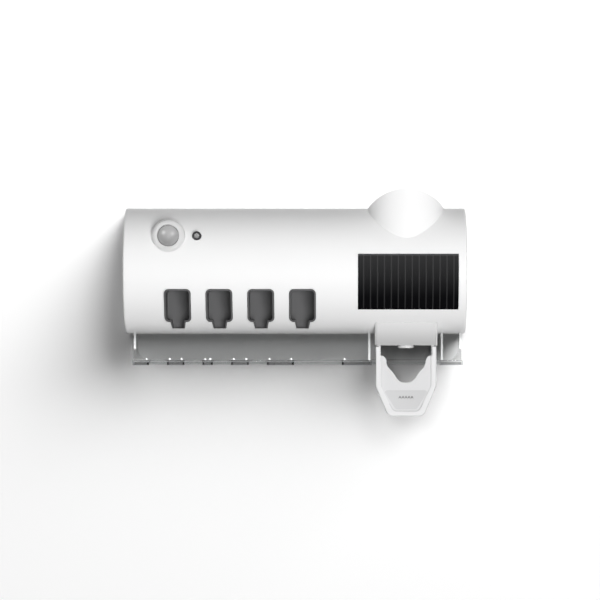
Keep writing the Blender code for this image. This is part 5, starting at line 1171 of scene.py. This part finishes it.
def lever_dish():
    """The tool that dishes the press pad: the pad's outline, rounded in section from side to side."""
    outline = pad_outline(LEVER_RIM + PRESS_PAD_MARGIN)
    half = LEVER_WIDTH / 2 - LEVER_RIM
    radius = (half**2 + PRESS_PAD_SINK**2) / (2 * PRESS_PAD_SINK)
    dish = drawn("dish", outline, "Y", PANEL_FRONT_Y - OVERRUN, PANEL_FRONT_Y + 2 * PRESS_PAD_SINK)
    axis_y = PANEL_FRONT_Y + PRESS_PAD_SINK - radius
    low, high = (0, axis_y, LEVER_TOE_Z - OVERRUN), (0, axis_y, LEVER_TOP_Z)
    return keep_common(dish, rod("roll", radius, low, high, PRESS_PAD_ROLL_STEPS))


def lever_groove():
    """A thin channel along the foot of the face, inside the rim."""
    front_y, floor_y = PANEL_FRONT_Y - OVERRUN, PANEL_FRONT_Y + GROOVE_DEPTH
    outer = drawn("groove", pad_outline(LEVER_RIM - GAP / 3), "Y", front_y, floor_y)
    inner = drawn("kept", pad_outline(LEVER_RIM + GROOVE_WIDTH), "Y", front_y - OVERRUN, floor_y + OVERRUN)
    carve(outer, inner)
    edit(outer)
    slice_off((0, 0, LEVER_TOE_Z + LEVER_RIM + LEVER_TOE_ROUND), (0, 0, 1))
    return done(outer)


def arm_outline():
    """An arm in side view, as (y, z): a round eye on the pivot and a strap down into the leg."""
    front_y, rear_y = PIVOT_Y - LEVER_ARM_DEPTH / 2, PIVOT_Y + LEVER_ARM_DEPTH / 2
    low_z, neck_z = LEVER_TOP_Z - LEVER_ARM_LAP, PIVOT_Z - LEVER_EYE_RADIUS
    eye = arc((PIVOT_Y, PIVOT_Z), LEVER_EYE_RADIUS, 0, math.pi, LEVER_EYE_STEPS)
    return eye + [(front_y, neck_z), (front_y, low_z), (rear_y, low_z), (rear_y, neck_z)]


def return_spring(material):
    """The torsion spring on the pin. Its lower leg bears on the lever's bar."""
    wire, coil = SPRING_WIRE_RADIUS, SPRING_COIL_RADIUS
    bpy.ops.mesh.primitive_circle_add(
        vertices=SPRING_WIRE_STEPS, radius=wire, location=(-SPRING_LENGTH / 2, 0, coil),
        rotation=(QUARTER_TURN, 0, 0),
    )
    spring = fresh("return_spring")
    winding = spring.modifiers.new("winding", "SCREW")
    winding.axis = "X"
    winding.angle = -SPRING_TURNS * FULL_TURN
    winding.screw_offset = SPRING_LENGTH
    winding.steps = winding.render_steps = SPRING_STEPS
    apply_all(spring)
    reach = BODY_RADIUS - COVER_WALL - GAP - wire
    upper_y = AXIS_Y - math.sqrt(reach**2 - (PIVOT_Z + SPRING_LEG_RISE)**2) - PIVOT_Y
    lower_y = LEVER_BAR_THICKNESS / 2 + wire + GAP
    upper = Vector((0, upper_y, SPRING_LEG_RISE - coil))
    lower = Vector((0, lower_y - coil, -SPRING_LEG_DROP))
    edit(spring, "VERT")
    for side, leg in ((-1, upper), (1, lower)):
        pick(spring, "VERT", lambda v: v.is_boundary and side * v.co.x > 0)
        for _ in range(SPRING_LEG_STEPS):
            pull(*(leg / SPRING_LEG_STEPS))
        bpy.ops.mesh.edge_face_add()
    bpy.ops.mesh.select_all(action="SELECT")
    bpy.ops.mesh.normals_make_consistent(inside=False)
    x = DISPENSER_X + SPRING_OFFSET_X
    set_at(done(spring), (x, PIVOT_Y, PIVOT_Z))
    smooth(spring)
    paint(spring, material)
    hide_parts("lever_spring")
    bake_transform(spring)


# Hanging rack

def rack_plan():
    """The tray floor's outline from above, anticlockwise: notches in front, a gap for the dispenser."""
    front = [(RACK_LEFT_X, RACK_FRONT_Y)]
    radius = NOTCH_WIDTH / 2
    for share in NOTCH_PLACE_SHARES:
        x = RACK_LEFT_X + share * TRAY_LENGTH
        inner_end = arc((x, RACK_FRONT_Y + NOTCH_DEPTH - radius), radius, math.pi, 0, NOTCH_STEPS)
        front += [(x - radius, RACK_FRONT_Y)] + inner_end + [(x + radius, RACK_FRONT_Y)]
    x = RACK_LEFT_X + WIDE_NOTCH_PLACE_SHARE * TRAY_LENGTH
    half, corner = WIDE_NOTCH_WIDTH / 2, WIDE_NOTCH_CORNER
    inner_y = RACK_FRONT_Y + NOTCH_DEPTH - corner
    left = arc((x - half + corner, inner_y), corner, math.pi, QUARTER_TURN, NOTCH_STEPS // 2)
    right = arc((x + half - corner, inner_y), corner, QUARTER_TURN, 0, NOTCH_STEPS // 2)
    front += [(x - half, RACK_FRONT_Y)] + left + right + [(x + half, RACK_FRONT_Y)]
    strip_y = RACK_REAR_Y - RACK_BAY_STRIP
    for side, ys in ((-1, (RACK_FRONT_Y, strip_y)), (1, (strip_y, RACK_FRONT_Y))):
        front += [(DISPENSER_X + side * RACK_BAY_HALF, y) for y in ys]
    return front + [(RACK_RIGHT_X, RACK_FRONT_Y), (RACK_RIGHT_X, RACK_REAR_Y), (RACK_LEFT_X, RACK_REAR_Y)]


def end_wall(x, side):
    """An outer end of the tray, seen from the front as (x, z): upright, swept into the floor."""
    inner = x - side * RACK_WALL
    centre = (inner - side * RACK_END_SWEEP, RACK_FLOOR_TOP_Z - RACK_END_SINK + RACK_END_SWEEP)
    start, end = (0, -QUARTER_TURN) if side > 0 else (math.pi, 3 * QUARTER_TURN)
    sweep = arc(centre, RACK_END_SWEEP, start, end, RACK_END_STEPS)
    base_z, top_z = RACK_FLOOR_TOP_Z - RACK_WALL / 2, RACK_TOP_Z + OVERRUN
    return [(x, base_z), (x, top_z), (inner, top_z)] + sweep + [(sweep[-1][0], base_z)]


def nib_places():
    """A nib on each side of every notch, just behind the rack's front edge, as (x, y)."""
    spans = [(RACK_LEFT_X + share * TRAY_LENGTH, NOTCH_WIDTH / 2) for share in NOTCH_PLACE_SHARES]
    spans.append((RACK_LEFT_X + WIDE_NOTCH_PLACE_SHARE * TRAY_LENGTH, WIDE_NOTCH_WIDTH / 2))
    y = RACK_FRONT_Y + NIB_INSET
    return [(x + side * (half + NIB_INSET), y) for x, half in spans for side in (-1, 1)]


def storage_rack(material):
    """The clear tray: notched floor with a turned-down skirt, back wall, end walls, nibs and tabs."""
    plan = rack_plan()
    skirt_z = RACK_FLOOR_TOP_Z - RACK_SKIRT
    rack = drawn("rack_tray", plan, "Z", skirt_z, RACK_FLOOR_TOP_Z)
    round_rim(rack, 2, RACK_FLOOR_TOP_Z, RACK_EDGE_ROUND, FINE_EDGE_STEPS)
    under_top = RACK_FLOOR_TOP_Z - RACK_WALL
    under = drawn("under", drawn_in(plan, RACK_SKIRT_WALL), "Z", skirt_z - OVERRUN, under_top)
    carve(rack, under)
    left, right = RACK_LEFT_X + RACK_WALL_INSET, RACK_RIGHT_X - RACK_WALL_INSET
    front_y, back_y = RACK_FRONT_Y + RACK_WALL_INSET, RACK_BACK_WALL_Y
    base_z, top_z = RACK_FLOOR_TOP_Z - RACK_WALL / 2, RACK_TOP_Z + OVERRUN
    half = RACK_WALL / 2
    unite(
        rack,
        bar("back", (left + half, back_y - half, base_z), (right - half, back_y + half, top_z)),
        drawn("end", end_wall(left, -1), "Y", front_y, back_y),
        drawn("end", end_wall(right, 1), "Y", front_y, back_y),
    )
    for side in (-1, 1):
        edge = DISPENSER_X + side * (RACK_BAY_HALF + RACK_WALL_INSET)
        low, high = sorted((edge, edge + side * RACK_WALL))
        unite(rack, bar("bay_wall", (low, front_y, base_z), (high, back_y, top_z)))
    carve(rack, housing_bar("trim", -GAP, OVERRUN, BODY_LENGTH))
    dome = arc((0, NIB_RISE - NIB_RADIUS), NIB_RADIUS, 0, QUARTER_TURN, NIB_STEPS)
    for x, y in nib_places():
        nib = turned("nib", [(0, -half), (NIB_RADIUS, -half)] + dome, steps=THIN_ROD_STEPS)
        unite(rack, set_at(nib, (x, y, RACK_FLOOR_TOP_Z)))
    for x in tab_middles():
        unite(rack, tab_block("tab", x, 0, RACK_TOP_Z - RACK_WALL, RACK_TOP_Z + TAB_RISE))
    smooth(rack)
    return piece(rack, material, "rack", "clear_acrylic", "storage_rack")


# Materials

# Noise for clouded colour, for wear in the sheen and for grain: scale and detail
CLOUD = (14, 3)
WEAR = (60, 4)
GRAIN = (900, 2)
ACRYLIC_WEAR = (40, 4)
WEAR_SPREAD = 0.04
GRAIN_DEPTH = 0.02 * MM
# Fades: where a finish starts and where it is full, from the level that it is measured from
FROSTED_HIGHLIGHT_FADE = (0.2 * MM, -1.0 * MM)
FLOOR_FADE = (0.1 * MM, 0.4 * MM)
SKIRT_FADE = (-0.6 * MM, -1.2 * MM)
FILLET_FADE = (6.0 * MM, 5.0 * MM)
APRON_SIDE_FADE = (0.1 * MM, -1.6 * MM)
APRON_TOP_FADE = (0.4 * MM, -0.4 * MM)
BOSS_FADE = (0.2 * MM, -1.2 * MM)
PANEL_FADE = (-0.5 * MM, -0.1 * MM)
PAD_FADE = (0.05 * MM, 0.3 * MM)
SOLAR_TOP_FADE = (-2.2 * MM, -0.6 * MM)
CELL_LINE_FADE = (0.35 * CELL_LINE, 0.65 * CELL_LINE)
ACRYLIC_IOR = 1.49
ACRYLIC_TINT = (0.86, 0.87, 0.87)
ACRYLIC_ROUGHNESS = (0.02, 0.06)
# Painted shade in the rack's front skirt and the ends' sweep
SKIRT_PAINTED_SHADE = (0.45, 0.455, 0.455)
SKIRT_REACH = 0.1 * MM
# Frost that whitens the rack's nibs and front edges: a painted highlight
FROSTED_HIGHLIGHT_SHARE = 0.45
FROSTED_HIGHLIGHT_ROUGHNESS = 0.3
SWEEP_SHARE = 0.8
SWEEP_CLEARS = 0.9
# Painted shade in the lever's sunken panel and, deeper, in its pad
PANEL_PAINTED_SHADE = (0.645, 0.645, 0.65)
PAD_PAINTED_SHADE = (0.565, 0.565, 0.57)
CELL_LINE_TINT = (0.024, 0.024, 0.025)
# Painted reflection along the solar film's top edge
SOLAR_TOP_PAINTED_REFLECTION = (0.045, 0.045, 0.046)


def make_material(name):
    """A new material, its node tree and its shader."""
    material = bpy.data.materials.new(name)
    material.use_nodes = True
    return material, material.node_tree, material.node_tree.nodes["Principled BSDF"]


def object_noise(tree, kind):
    """Noise in the object's own space, of a kind given as scale and detail."""
    scale, detail = kind
    place = tree.nodes.new("ShaderNodeTexCoord")
    noise = tree.nodes.new("ShaderNodeTexNoise")
    noise.inputs["Scale"].default_value = scale
    noise.inputs["Detail"].default_value = detail
    tree.links.new(place.outputs["Object"], noise.inputs["Vector"])
    return noise.outputs["Fac"]


def spread(tree, value, low, high):
    """Spreads a value from 0 to 1 over a range."""
    node = tree.nodes.new("ShaderNodeMapRange")
    node.inputs["To Min"].default_value = low
    node.inputs["To Max"].default_value = high
    tree.links.new(value, node.inputs["Value"])
    return node.outputs["Result"]


def blend_colour(tree, factor, first, second):
    """Two colours mixed by a factor; each is a node's result or plain numbers."""
    node = tree.nodes.new("ShaderNodeMix")
    node.data_type = "RGBA"
    for name, colour in (("A", first), ("B", second)):
        if isinstance(colour, tuple):
            node.inputs[name].default_value = (*colour, 1)
        else:
            tree.links.new(colour, node.inputs[name])
    tree.links.new(factor, node.inputs["Factor"])
    return node.outputs["Result"]


def rough_up(tree, shader, height, strength, distance):
    """Bump on a shader's normal."""
    bump = tree.nodes.new("ShaderNodeBump")
    bump.inputs["Strength"].default_value = strength
    bump.inputs["Distance"].default_value = distance
    tree.links.new(height, bump.inputs["Height"])
    tree.links.new(bump.outputs["Normal"], shader.inputs["Normal"])


def moulded(name, low, high, roughness, bump=0.04, specular=0.5):
    """A moulded finish: a little uneven in colour and sheen, with a fine surface grain."""
    material, tree, shader = make_material(name)
    cloud = object_noise(tree, CLOUD)
    tree.links.new(blend_colour(tree, cloud, low, high), shader.inputs["Base Color"])
    wear = object_noise(tree, WEAR)
    sheen = spread(tree, wear, roughness - WEAR_SPREAD, roughness + WEAR_SPREAD)
    tree.links.new(sheen, shader.inputs["Roughness"])
    shader.inputs["Specular IOR Level"].default_value = specular
    rough_up(tree, shader, object_noise(tree, GRAIN), bump, GRAIN_DEPTH)
    return material


def object_place(tree):
    """X, Y and Z in the object's own space, in metres."""
    place = tree.nodes.new("ShaderNodeTexCoord")
    parts = tree.nodes.new("ShaderNodeSeparateXYZ")
    tree.links.new(place.outputs["Object"], parts.inputs["Vector"])
    return parts.outputs


def sums(tree, operation, *values):
    """One step of arithmetic on values or on nodes' results."""
    node = tree.nodes.new("ShaderNodeMath")
    node.operation = operation
    for socket, value in zip(node.inputs, values):
        if isinstance(value, (int, float)):
            socket.default_value = value
        else:
            tree.links.new(value, socket)
    return node.outputs["Value"]


def ramp(tree, value, start, end):
    """0 before start, 1 after end, and a smooth rise between."""
    node = tree.nodes.new("ShaderNodeMapRange")
    node.interpolation_type = "SMOOTHSTEP"
    node.inputs["From Min"].default_value = start
    node.inputs["From Max"].default_value = end
    tree.links.new(value, node.inputs["Value"])
    return node.outputs["Result"]


def fade(tree, value, level, span):
    """0 to 1 over a span that is measured from a level."""
    return ramp(tree, value, level + span[0], level + span[1])


def clear_acrylic():
    """Clear plastic, frosted white on the nibs and front edges as a painted highlight, with painted shade
    in the front skirt and the ends' sweep.
    """
    material, tree, shader = make_material("clear_acrylic")
    shader.inputs["IOR"].default_value = ACRYLIC_IOR
    x, y, z = object_place(tree)
    # Frost that whitens the nibs and front edges as a painted highlight, cleared from the ends' sweep
    above = fade(tree, z, RACK_FLOOR_TOP_Z, FLOOR_FADE)
    frosted_highlight = sums(tree, "MULTIPLY", fade(tree, y, RACK_FRONT_Y + 2 * NIB_INSET, FROSTED_HIGHLIGHT_FADE), above)
    aside = sums(tree, "ABSOLUTE", sums(tree, "SUBTRACT", x, RACK_X))
    kept = SWEEP_SHARE * RACK_END_SWEEP
    sweep_x = RACK_LENGTH / 2 - RACK_WALL_INSET - RACK_WALL - kept
    low = fade(tree, z, RACK_FLOOR_TOP_Z, (RACK_END_SWEEP, kept))
    sweep = sums(tree, "MULTIPLY", sums(tree, "GREATER_THAN", aside, sweep_x), low)
    sweep = sums(tree, "MULTIPLY", sweep, above)
    frosted_highlight = sums(tree, "MULTIPLY", frosted_highlight, sums(tree, "MULTIPLY_ADD", sweep, -SWEEP_CLEARS, 1.0))
    wear = spread(tree, object_noise(tree, ACRYLIC_WEAR), *ACRYLIC_ROUGHNESS)
    tree.links.new(sums(tree, "MULTIPLY_ADD", frosted_highlight, FROSTED_HIGHLIGHT_ROUGHNESS, wear), shader.inputs["Roughness"])
    clear = sums(tree, "MULTIPLY_ADD", frosted_highlight, -FROSTED_HIGHLIGHT_SHARE, 1.0)
    tree.links.new(clear, shader.inputs["Transmission Weight"])
    # Painted shade in the front skirt and in the sweep of each end
    skirt = fade(tree, z, RACK_FLOOR_TOP_Z, SKIRT_FADE)
    in_front = sums(tree, "LESS_THAN", y, RACK_FRONT_Y + RACK_SKIRT_WALL + SKIRT_REACH)
    fillet = sums(tree, "MULTIPLY", sweep, fade(tree, y, RACK_FRONT_Y, FILLET_FADE))
    skirt = sums(tree, "MAXIMUM", sums(tree, "MULTIPLY", skirt, in_front), fillet)
    skirt_shaded = blend_colour(tree, skirt, ACRYLIC_TINT, SKIRT_PAINTED_SHADE)
    tree.links.new(skirt_shaded, shader.inputs["Base Color"])
    return material


def repaint(tree, shader, factor, colour):
    """Lays a colour over the one a shader has, by a factor."""
    under = shader.inputs["Base Color"].links[0].from_socket
    tree.links.new(blend_colour(tree, factor, under, colour), shader.inputs["Base Color"])


def cover_white():
    """Bright white plastic, with painted shade on the eye's boss and down the apron's face, deeper towards
    the apron's lower edge.
    """
    material = moulded("cover_white", (0.89, 0.89, 0.89), (0.905, 0.905, 0.905), 0.36)
    tree = material.node_tree
    shader = tree.nodes["Principled BSDF"]
    x, y, z = object_place(tree)
    aside = sums(tree, "ABSOLUTE", sums(tree, "SUBTRACT", x, DISPENSER_X))
    # Painted shade down the apron's face, greyer towards its lower edge
    near = fade(tree, aside, APRON_WIDTH / 2, APRON_SIDE_FADE)
    apron = sums(tree, "MULTIPLY", near, fade(tree, z, APRON_PAINTED_SHADE_Z, APRON_TOP_FADE))
    lower = ramp(tree, z, APRON_PAINTED_SHADE_Z, APRON_BOTTOM_Z)
    repaint(tree, shader, apron, blend_colour(tree, lower, APRON_PAINTED_SHADE_TOP, APRON_PAINTED_SHADE_LOW))
    # Painted shade on the eye boss's face, fading out at its rim
    across, up = sums(tree, "SUBTRACT", x, EYE_X), sums(tree, "SUBTRACT", z, EYE_Z)
    across, up = sums(tree, "MULTIPLY", across, across), sums(tree, "MULTIPLY", up, up)
    off_axis = sums(tree, "SQRT", sums(tree, "ADD", across, up))
    boss = fade(tree, off_axis, EYE_BOSS_RADIUS, BOSS_FADE)
    boss = sums(tree, "MULTIPLY", boss, sums(tree, "LESS_THAN", y, EYE_BOSS_Y + EYE_BOSS_ROUND))
    repaint(tree, shader, boss, EYE_BOSS_PAINTED_SHADE)
    return material


def milky_plastic():
    """Milky plastic with painted shade in the sunken panel and, deeper, in the pad."""
    material = moulded("milky_plastic", (0.71, 0.71, 0.715), (0.74, 0.74, 0.745), 0.3)
    tree = material.node_tree
    shader = tree.nodes["Principled BSDF"]
    _, y, z = object_place(tree)
    low = ramp(tree, z, LEVER_TOP_Z - LEVER_RIM, LEVER_TOP_Z - 2 * LEVER_RIM)
    # Painted shade in the sunken panel and in the pad
    for span, colour in ((PANEL_FADE, PANEL_PAINTED_SHADE), (PAD_FADE, PAD_PAINTED_SHADE)):
        sunk_shade = sums(tree, "MULTIPLY", low, fade(tree, y, PANEL_FRONT_Y, span))
        repaint(tree, shader, sunk_shade, colour)
    return material


def solar_film():
    """Near-black cells under a glossy film, with the fine lines between the cells and a painted reflection
    along the top edge.
    """
    material = moulded("solar_film", (0.0034, 0.0034, 0.004), (0.0046, 0.0046, 0.0054), 0.12, bump=0.01)
    tree = material.node_tree
    shader = tree.nodes["Principled BSDF"]
    x, _, z = object_place(tree)
    first = SOLAR_X - SOLAR_LENGTH / 2 + CELL_FIRST
    off = sums(tree, "PINGPONG", sums(tree, "SUBTRACT", x, first), CELL_PITCH / 2)
    line = sums(tree, "SUBTRACT", 1, ramp(tree, off, *CELL_LINE_FADE))
    repaint(tree, shader, line, CELL_LINE_TINT)
    # Painted reflection: the film lighter along its top edge
    repaint(tree, shader, fade(tree, z, SOLAR_TOP_Z, SOLAR_TOP_FADE), SOLAR_TOP_PAINTED_REFLECTION)
    return material


def finishes():
    """One material for each finish in the record: darkest and lightest colour, then roughness."""
    return {
        "cover_white": cover_white(),
        "inner_white": moulded("inner_white", (0.84, 0.84, 0.84), (0.87, 0.87, 0.87), 0.46),
        "milky_plastic": milky_plastic(),
        "bay_grey": moulded("bay_grey", (0.115, 0.115, 0.117), (0.125, 0.125, 0.127), 0.6, bump=0.1),
        "clear_acrylic": clear_acrylic(),
        "solar_film": solar_film(),
        "frosted_lens": moulded("frosted_lens", (0.30, 0.30, 0.30), (0.33, 0.33, 0.33), 0.2, specular=0.9),
        "clear_lens": moulded("clear_lens", (0.21, 0.21, 0.21), (0.24, 0.24, 0.24), 0.1, specular=0.9),
        "dark_bezel": moulded("dark_bezel", (0.045, 0.045, 0.048), (0.06, 0.06, 0.063), 0.3),
        "metal": moulded("metal", (0.62, 0.62, 0.62), (0.7, 0.7, 0.7), 0.3),
        "circuit_board": moulded("circuit_board", (0.015, 0.14, 0.05), (0.025, 0.18, 0.07), 0.45),
        "lamp_case": moulded("lamp_case", (0.8, 0.8, 0.78), (0.86, 0.86, 0.84), 0.3),
        "silicone": moulded("silicone", (0.32, 0.32, 0.33), (0.37, 0.37, 0.38), 0.65),
        "foam_tape": moulded("foam_tape", (0.72, 0.72, 0.70), (0.78, 0.78, 0.76), 0.9, bump=0.4),
        "cell_wrap": moulded("cell_wrap", (0.04, 0.20, 0.42), (0.05, 0.23, 0.48), 0.35),
    }


# Stage: wall, floor, light and camera

STAGE_SIZE = 4.0
WALL_PLACE = (0, 0.6 * MM, 0.6)
WALL_WHITE = 1.0
FLOOR_PLACE = (0, -1.9, -0.9)
FLOOR_WHITE = 0.95
AMBIENT_BELOW, AMBIENT_ABOVE = 0.03, 0.02
MIRROR_LOW_Z, MIRROR_HIGH_Z = -0.75, 0.65
MIRROR_SHARE = 0.9
# A Light Path depth under this is none at all
NO_DEPTH = 0.5
AIM = Vector((0, -0.06, 0))
# Lamps: name, azimuth and elevation in degrees, distance, width, share of full white, height
OBJECT_LAMPS = (
    ("front", 10, -8, 2.6, 1.1, 1.015, 1.1),
    ("low", 0, -45, 2.6, 1.0, 0.07, 1.0),
    ("top", 0, 60, 2.4, 1.0, 0.175, 1.0),
    ("side_right", 95, 4, 2.0, 0.6, 0.12, 0.6),
    ("side_left", -95, 4, 2.0, 0.6, 0.08, 0.6),
    ("rear_right", 150, 24, 2.2, 0.8, 0.26, 0.8),
    ("rear_left", -150, 24, 2.2, 0.8, 0.26, 0.8),
)
WALL_FILLS = (
    ("wall_low", -8, 12, 5.0, 1.4, 0.18, 1.4),
    ("wall_middle", 18, 27, 5.0, 1.6, 0.13, 1.6),
)
WALL_KEY = ("wall_key", 39, 45, 5.0, 4.4, 1.66, 2.6)
LENS_GLINTS = (
    ("glint_left", -60, 31, 2.2, 1.3, 0.35, 1.3),
    ("glint_right", 51, 23, 2.2, 1.3, 0.35, 1.3),
)
RACK_GLINTS = (
    ("rack_left", -38, 42, 2.2, 1.2, 2.6, 1.2),
    ("rack_right", 34, 48, 2.2, 1.2, 2.6, 1.2),
)
CAMERA_PLACE = (0.0317, -3.286, -0.0282)
CAMERA_LENS = 200.7
CAMERA_SENSOR = 36
CAMERA_SHIFT_X = -0.0467
CAMERA_REACH = 50


def backdrop(name, colour, mirrored):
    """Shows its front to the camera, through clear plastic and, if mirrored, in gloss.

    Other light passes through it.
    """
    material = bpy.data.materials.new(name)
    material.use_nodes = True
    tree = material.node_tree
    tree.nodes.clear()
    path = tree.nodes.new("ShaderNodeLightPath").outputs
    side = tree.nodes.new("ShaderNodeNewGeometry").outputs
    seen = path["Is Transmission Ray"]
    if mirrored:
        seen = sums(tree, "MAXIMUM", seen, path["Is Glossy Ray"])
    seen = sums(tree, "MULTIPLY", seen, sums(tree, "LESS_THAN", path["Diffuse Depth"], NO_DEPTH))
    seen = sums(tree, "MAXIMUM", seen, path["Is Camera Ray"])
    front = sums(tree, "MULTIPLY", seen, sums(tree, "SUBTRACT", 1, side["Backfacing"]))
    matt = tree.nodes.new("ShaderNodeBsdfDiffuse")
    matt.inputs["Color"].default_value = (colour, colour, colour, 1)
    pass_on = tree.nodes.new("ShaderNodeBsdfTransparent")
    mix = tree.nodes.new("ShaderNodeMixShader")
    tree.links.new(front, mix.inputs["Fac"])
    tree.links.new(pass_on.outputs["BSDF"], mix.inputs[1])
    tree.links.new(matt.outputs["BSDF"], mix.inputs[2])
    output = tree.nodes.new("ShaderNodeOutputMaterial")
    tree.links.new(mix.outputs["Shader"], output.inputs["Surface"])
    return material


def make_stage():
    """A white wall just behind the adhesive sheet, and a pale floor below the view."""
    bpy.ops.mesh.primitive_plane_add(size=STAGE_SIZE, location=WALL_PLACE, rotation=(QUARTER_TURN, 0, 0))
    wall = fresh("wall")
    paint(wall, backdrop("wall_white", WALL_WHITE, True))
    bpy.ops.mesh.primitive_plane_add(size=STAGE_SIZE, location=FLOOR_PLACE)
    floor = fresh("floor")
    paint(floor, backdrop("floor_white", FLOOR_WHITE, False))
    return [wall, floor]


def make_world():
    """White to the camera, a soft room in reflections and clear plastic, and a faint even light."""
    world = bpy.data.worlds.new("studio")
    bpy.context.scene.world = world
    world.use_nodes = True
    tree = world.node_tree
    background = tree.nodes["Background"]
    place = tree.nodes.new("ShaderNodeTexCoord")
    parts = tree.nodes.new("ShaderNodeSeparateXYZ")
    tree.links.new(place.outputs["Generated"], parts.inputs["Vector"])
    height = parts.outputs["Z"]
    ambient = spread(tree, sums(tree, "MULTIPLY_ADD", height, 0.5, 0.5), AMBIENT_BELOW, AMBIENT_ABOVE)
    room = tree.nodes.new("ShaderNodeMapRange")
    room.inputs["From Min"].default_value = MIRROR_LOW_Z
    room.inputs["From Max"].default_value = MIRROR_HIGH_Z
    room.inputs["To Max"].default_value = MIRROR_SHARE
    tree.links.new(height, room.inputs["Value"])
    path = tree.nodes.new("ShaderNodeLightPath").outputs
    direct = sums(tree, "LESS_THAN", path["Diffuse Depth"], NO_DEPTH)
    mirrored = sums(tree, "MAXIMUM", path["Is Glossy Ray"], path["Is Transmission Ray"])
    mirrored = sums(tree, "MULTIPLY", mirrored, direct)
    inner = tree.nodes.new("ShaderNodeMix")
    tree.links.new(mirrored, inner.inputs["Factor"])
    tree.links.new(ambient, inner.inputs["A"])
    tree.links.new(room.outputs["Result"], inner.inputs["B"])
    outer = tree.nodes.new("ShaderNodeMix")
    tree.links.new(path["Is Camera Ray"], outer.inputs["Factor"])
    tree.links.new(inner.outputs["Result"], outer.inputs["A"])
    outer.inputs["B"].default_value = 1.0
    tree.links.new(outer.outputs["Result"], background.inputs["Strength"])
    background.inputs["Color"].default_value = (1, 1, 1, 1)


def softbox(name, azimuth, elevation, distance, width, share, height, shows):
    """A lamp panel that lights what faces it with a share of full white, and may show in gloss."""
    across, up = math.radians(azimuth), math.radians(elevation)
    away = Vector((math.sin(across) * math.cos(up), -math.cos(across) * math.cos(up), math.sin(up)))
    bpy.ops.object.light_add(type="AREA", location=AIM + away * distance)
    lamp = bpy.context.object
    lamp.name = name
    lamp.rotation_euler = away.to_track_quat("Z", "Y").to_euler()
    lamp.data.shape = "RECTANGLE"
    lamp.data.size = width
    lamp.data.size_y = height
    lamp.data.energy = share * math.pi**2 * distance**2
    lamp.visible_glossy = shows
    lamp.visible_transmission = False
    return lamp


def light_group(name, objects, state):
    """A list of objects that lamps are kept to (INCLUDE) or kept off (EXCLUDE)."""
    group = bpy.data.collections.new(name)
    for obj in objects:
        group.objects.link(obj)
    for row in group.collection_objects:
        row.light_linking.link_state = state
    return group


def hang_lamps(rows, receivers, let_through=(), shows=False):
    """Hangs the lamps of some rows. They light the receivers, and pass through what is let through."""
    for row in rows:
        lamp = softbox(*row, shows)
        lamp.light_linking.receiver_collection = receivers
        if let_through:
            lamp.light_linking.blocker_collection = light_group("not_shading", let_through, "EXCLUDE")


def make_lights(stage, rack, lever, lenses):
    """Even light on the object, a key and fills for the wall behind it, and glints on clear pieces."""
    hang_lamps(OBJECT_LAMPS, light_group("off_stage", stage, "EXCLUDE"))
    stage_only = light_group("stage_only", stage, "INCLUDE")
    hang_lamps(WALL_FILLS, stage_only, [rack])
    hang_lamps([WALL_KEY], stage_only, [rack, lever])
    hang_lamps(LENS_GLINTS, light_group("lens_glints", lenses, "INCLUDE"), shows=True)
    hang_lamps(RACK_GLINTS, light_group("rack_glints", [rack], "INCLUDE"), shows=True)


def make_camera():
    """A long lens straight at the wall, its frame shifted to the photograph's."""
    bpy.ops.object.camera_add(location=CAMERA_PLACE, rotation=(QUARTER_TURN, 0, 0))
    camera = bpy.context.object
    camera.data.lens = CAMERA_LENS
    camera.data.sensor_width = CAMERA_SENSOR
    camera.data.shift_x = CAMERA_SHIFT_X
    camera.data.clip_end = CAMERA_REACH
    bpy.context.scene.camera = camera


def dress_nodes(materials):
    """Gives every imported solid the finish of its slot."""
    for row in frame["record"]["subparts"]:
        paint(frame["nodes"][row["node"]], materials[row["material_slot"]])


def main():
    bpy.context.scene.view_settings.view_transform = "Standard"
    bpy.ops.object.select_all(action="DESELECT")
    finish = finishes()
    dress_nodes(finish)
    front_cover(finish["cover_white"])
    bay_pockets(finish["bay_grey"])
    eye = eye_lens(finish["frosted_lens"])
    light = indicator(finish["dark_bezel"], finish["clear_lens"])
    solar_panel(finish["solar_film"])
    feed_socket(finish["inner_white"])
    mouth_seal(finish["silicone"])
    nozzle(finish["milky_plastic"])
    lever = push_lever(finish["milky_plastic"])
    push_marks(finish["bay_grey"])
    rack = storage_rack(finish["clear_acrylic"])
    back_plate(finish["inner_white"])
    plate_screws(finish["metal"])
    wall_bumpers(finish["silicone"])
    wall_bracket(finish["inner_white"])
    adhesive_sheet(finish["foam_tape"])
    power_key(finish["bay_grey"])
    charging_port(finish["metal"])
    pivot_pin(finish["metal"])
    return_spring(finish["metal"])
    stage = make_stage()
    make_world()
    make_lights(stage, rack, lever, [eye, light])
    make_camera()


main()
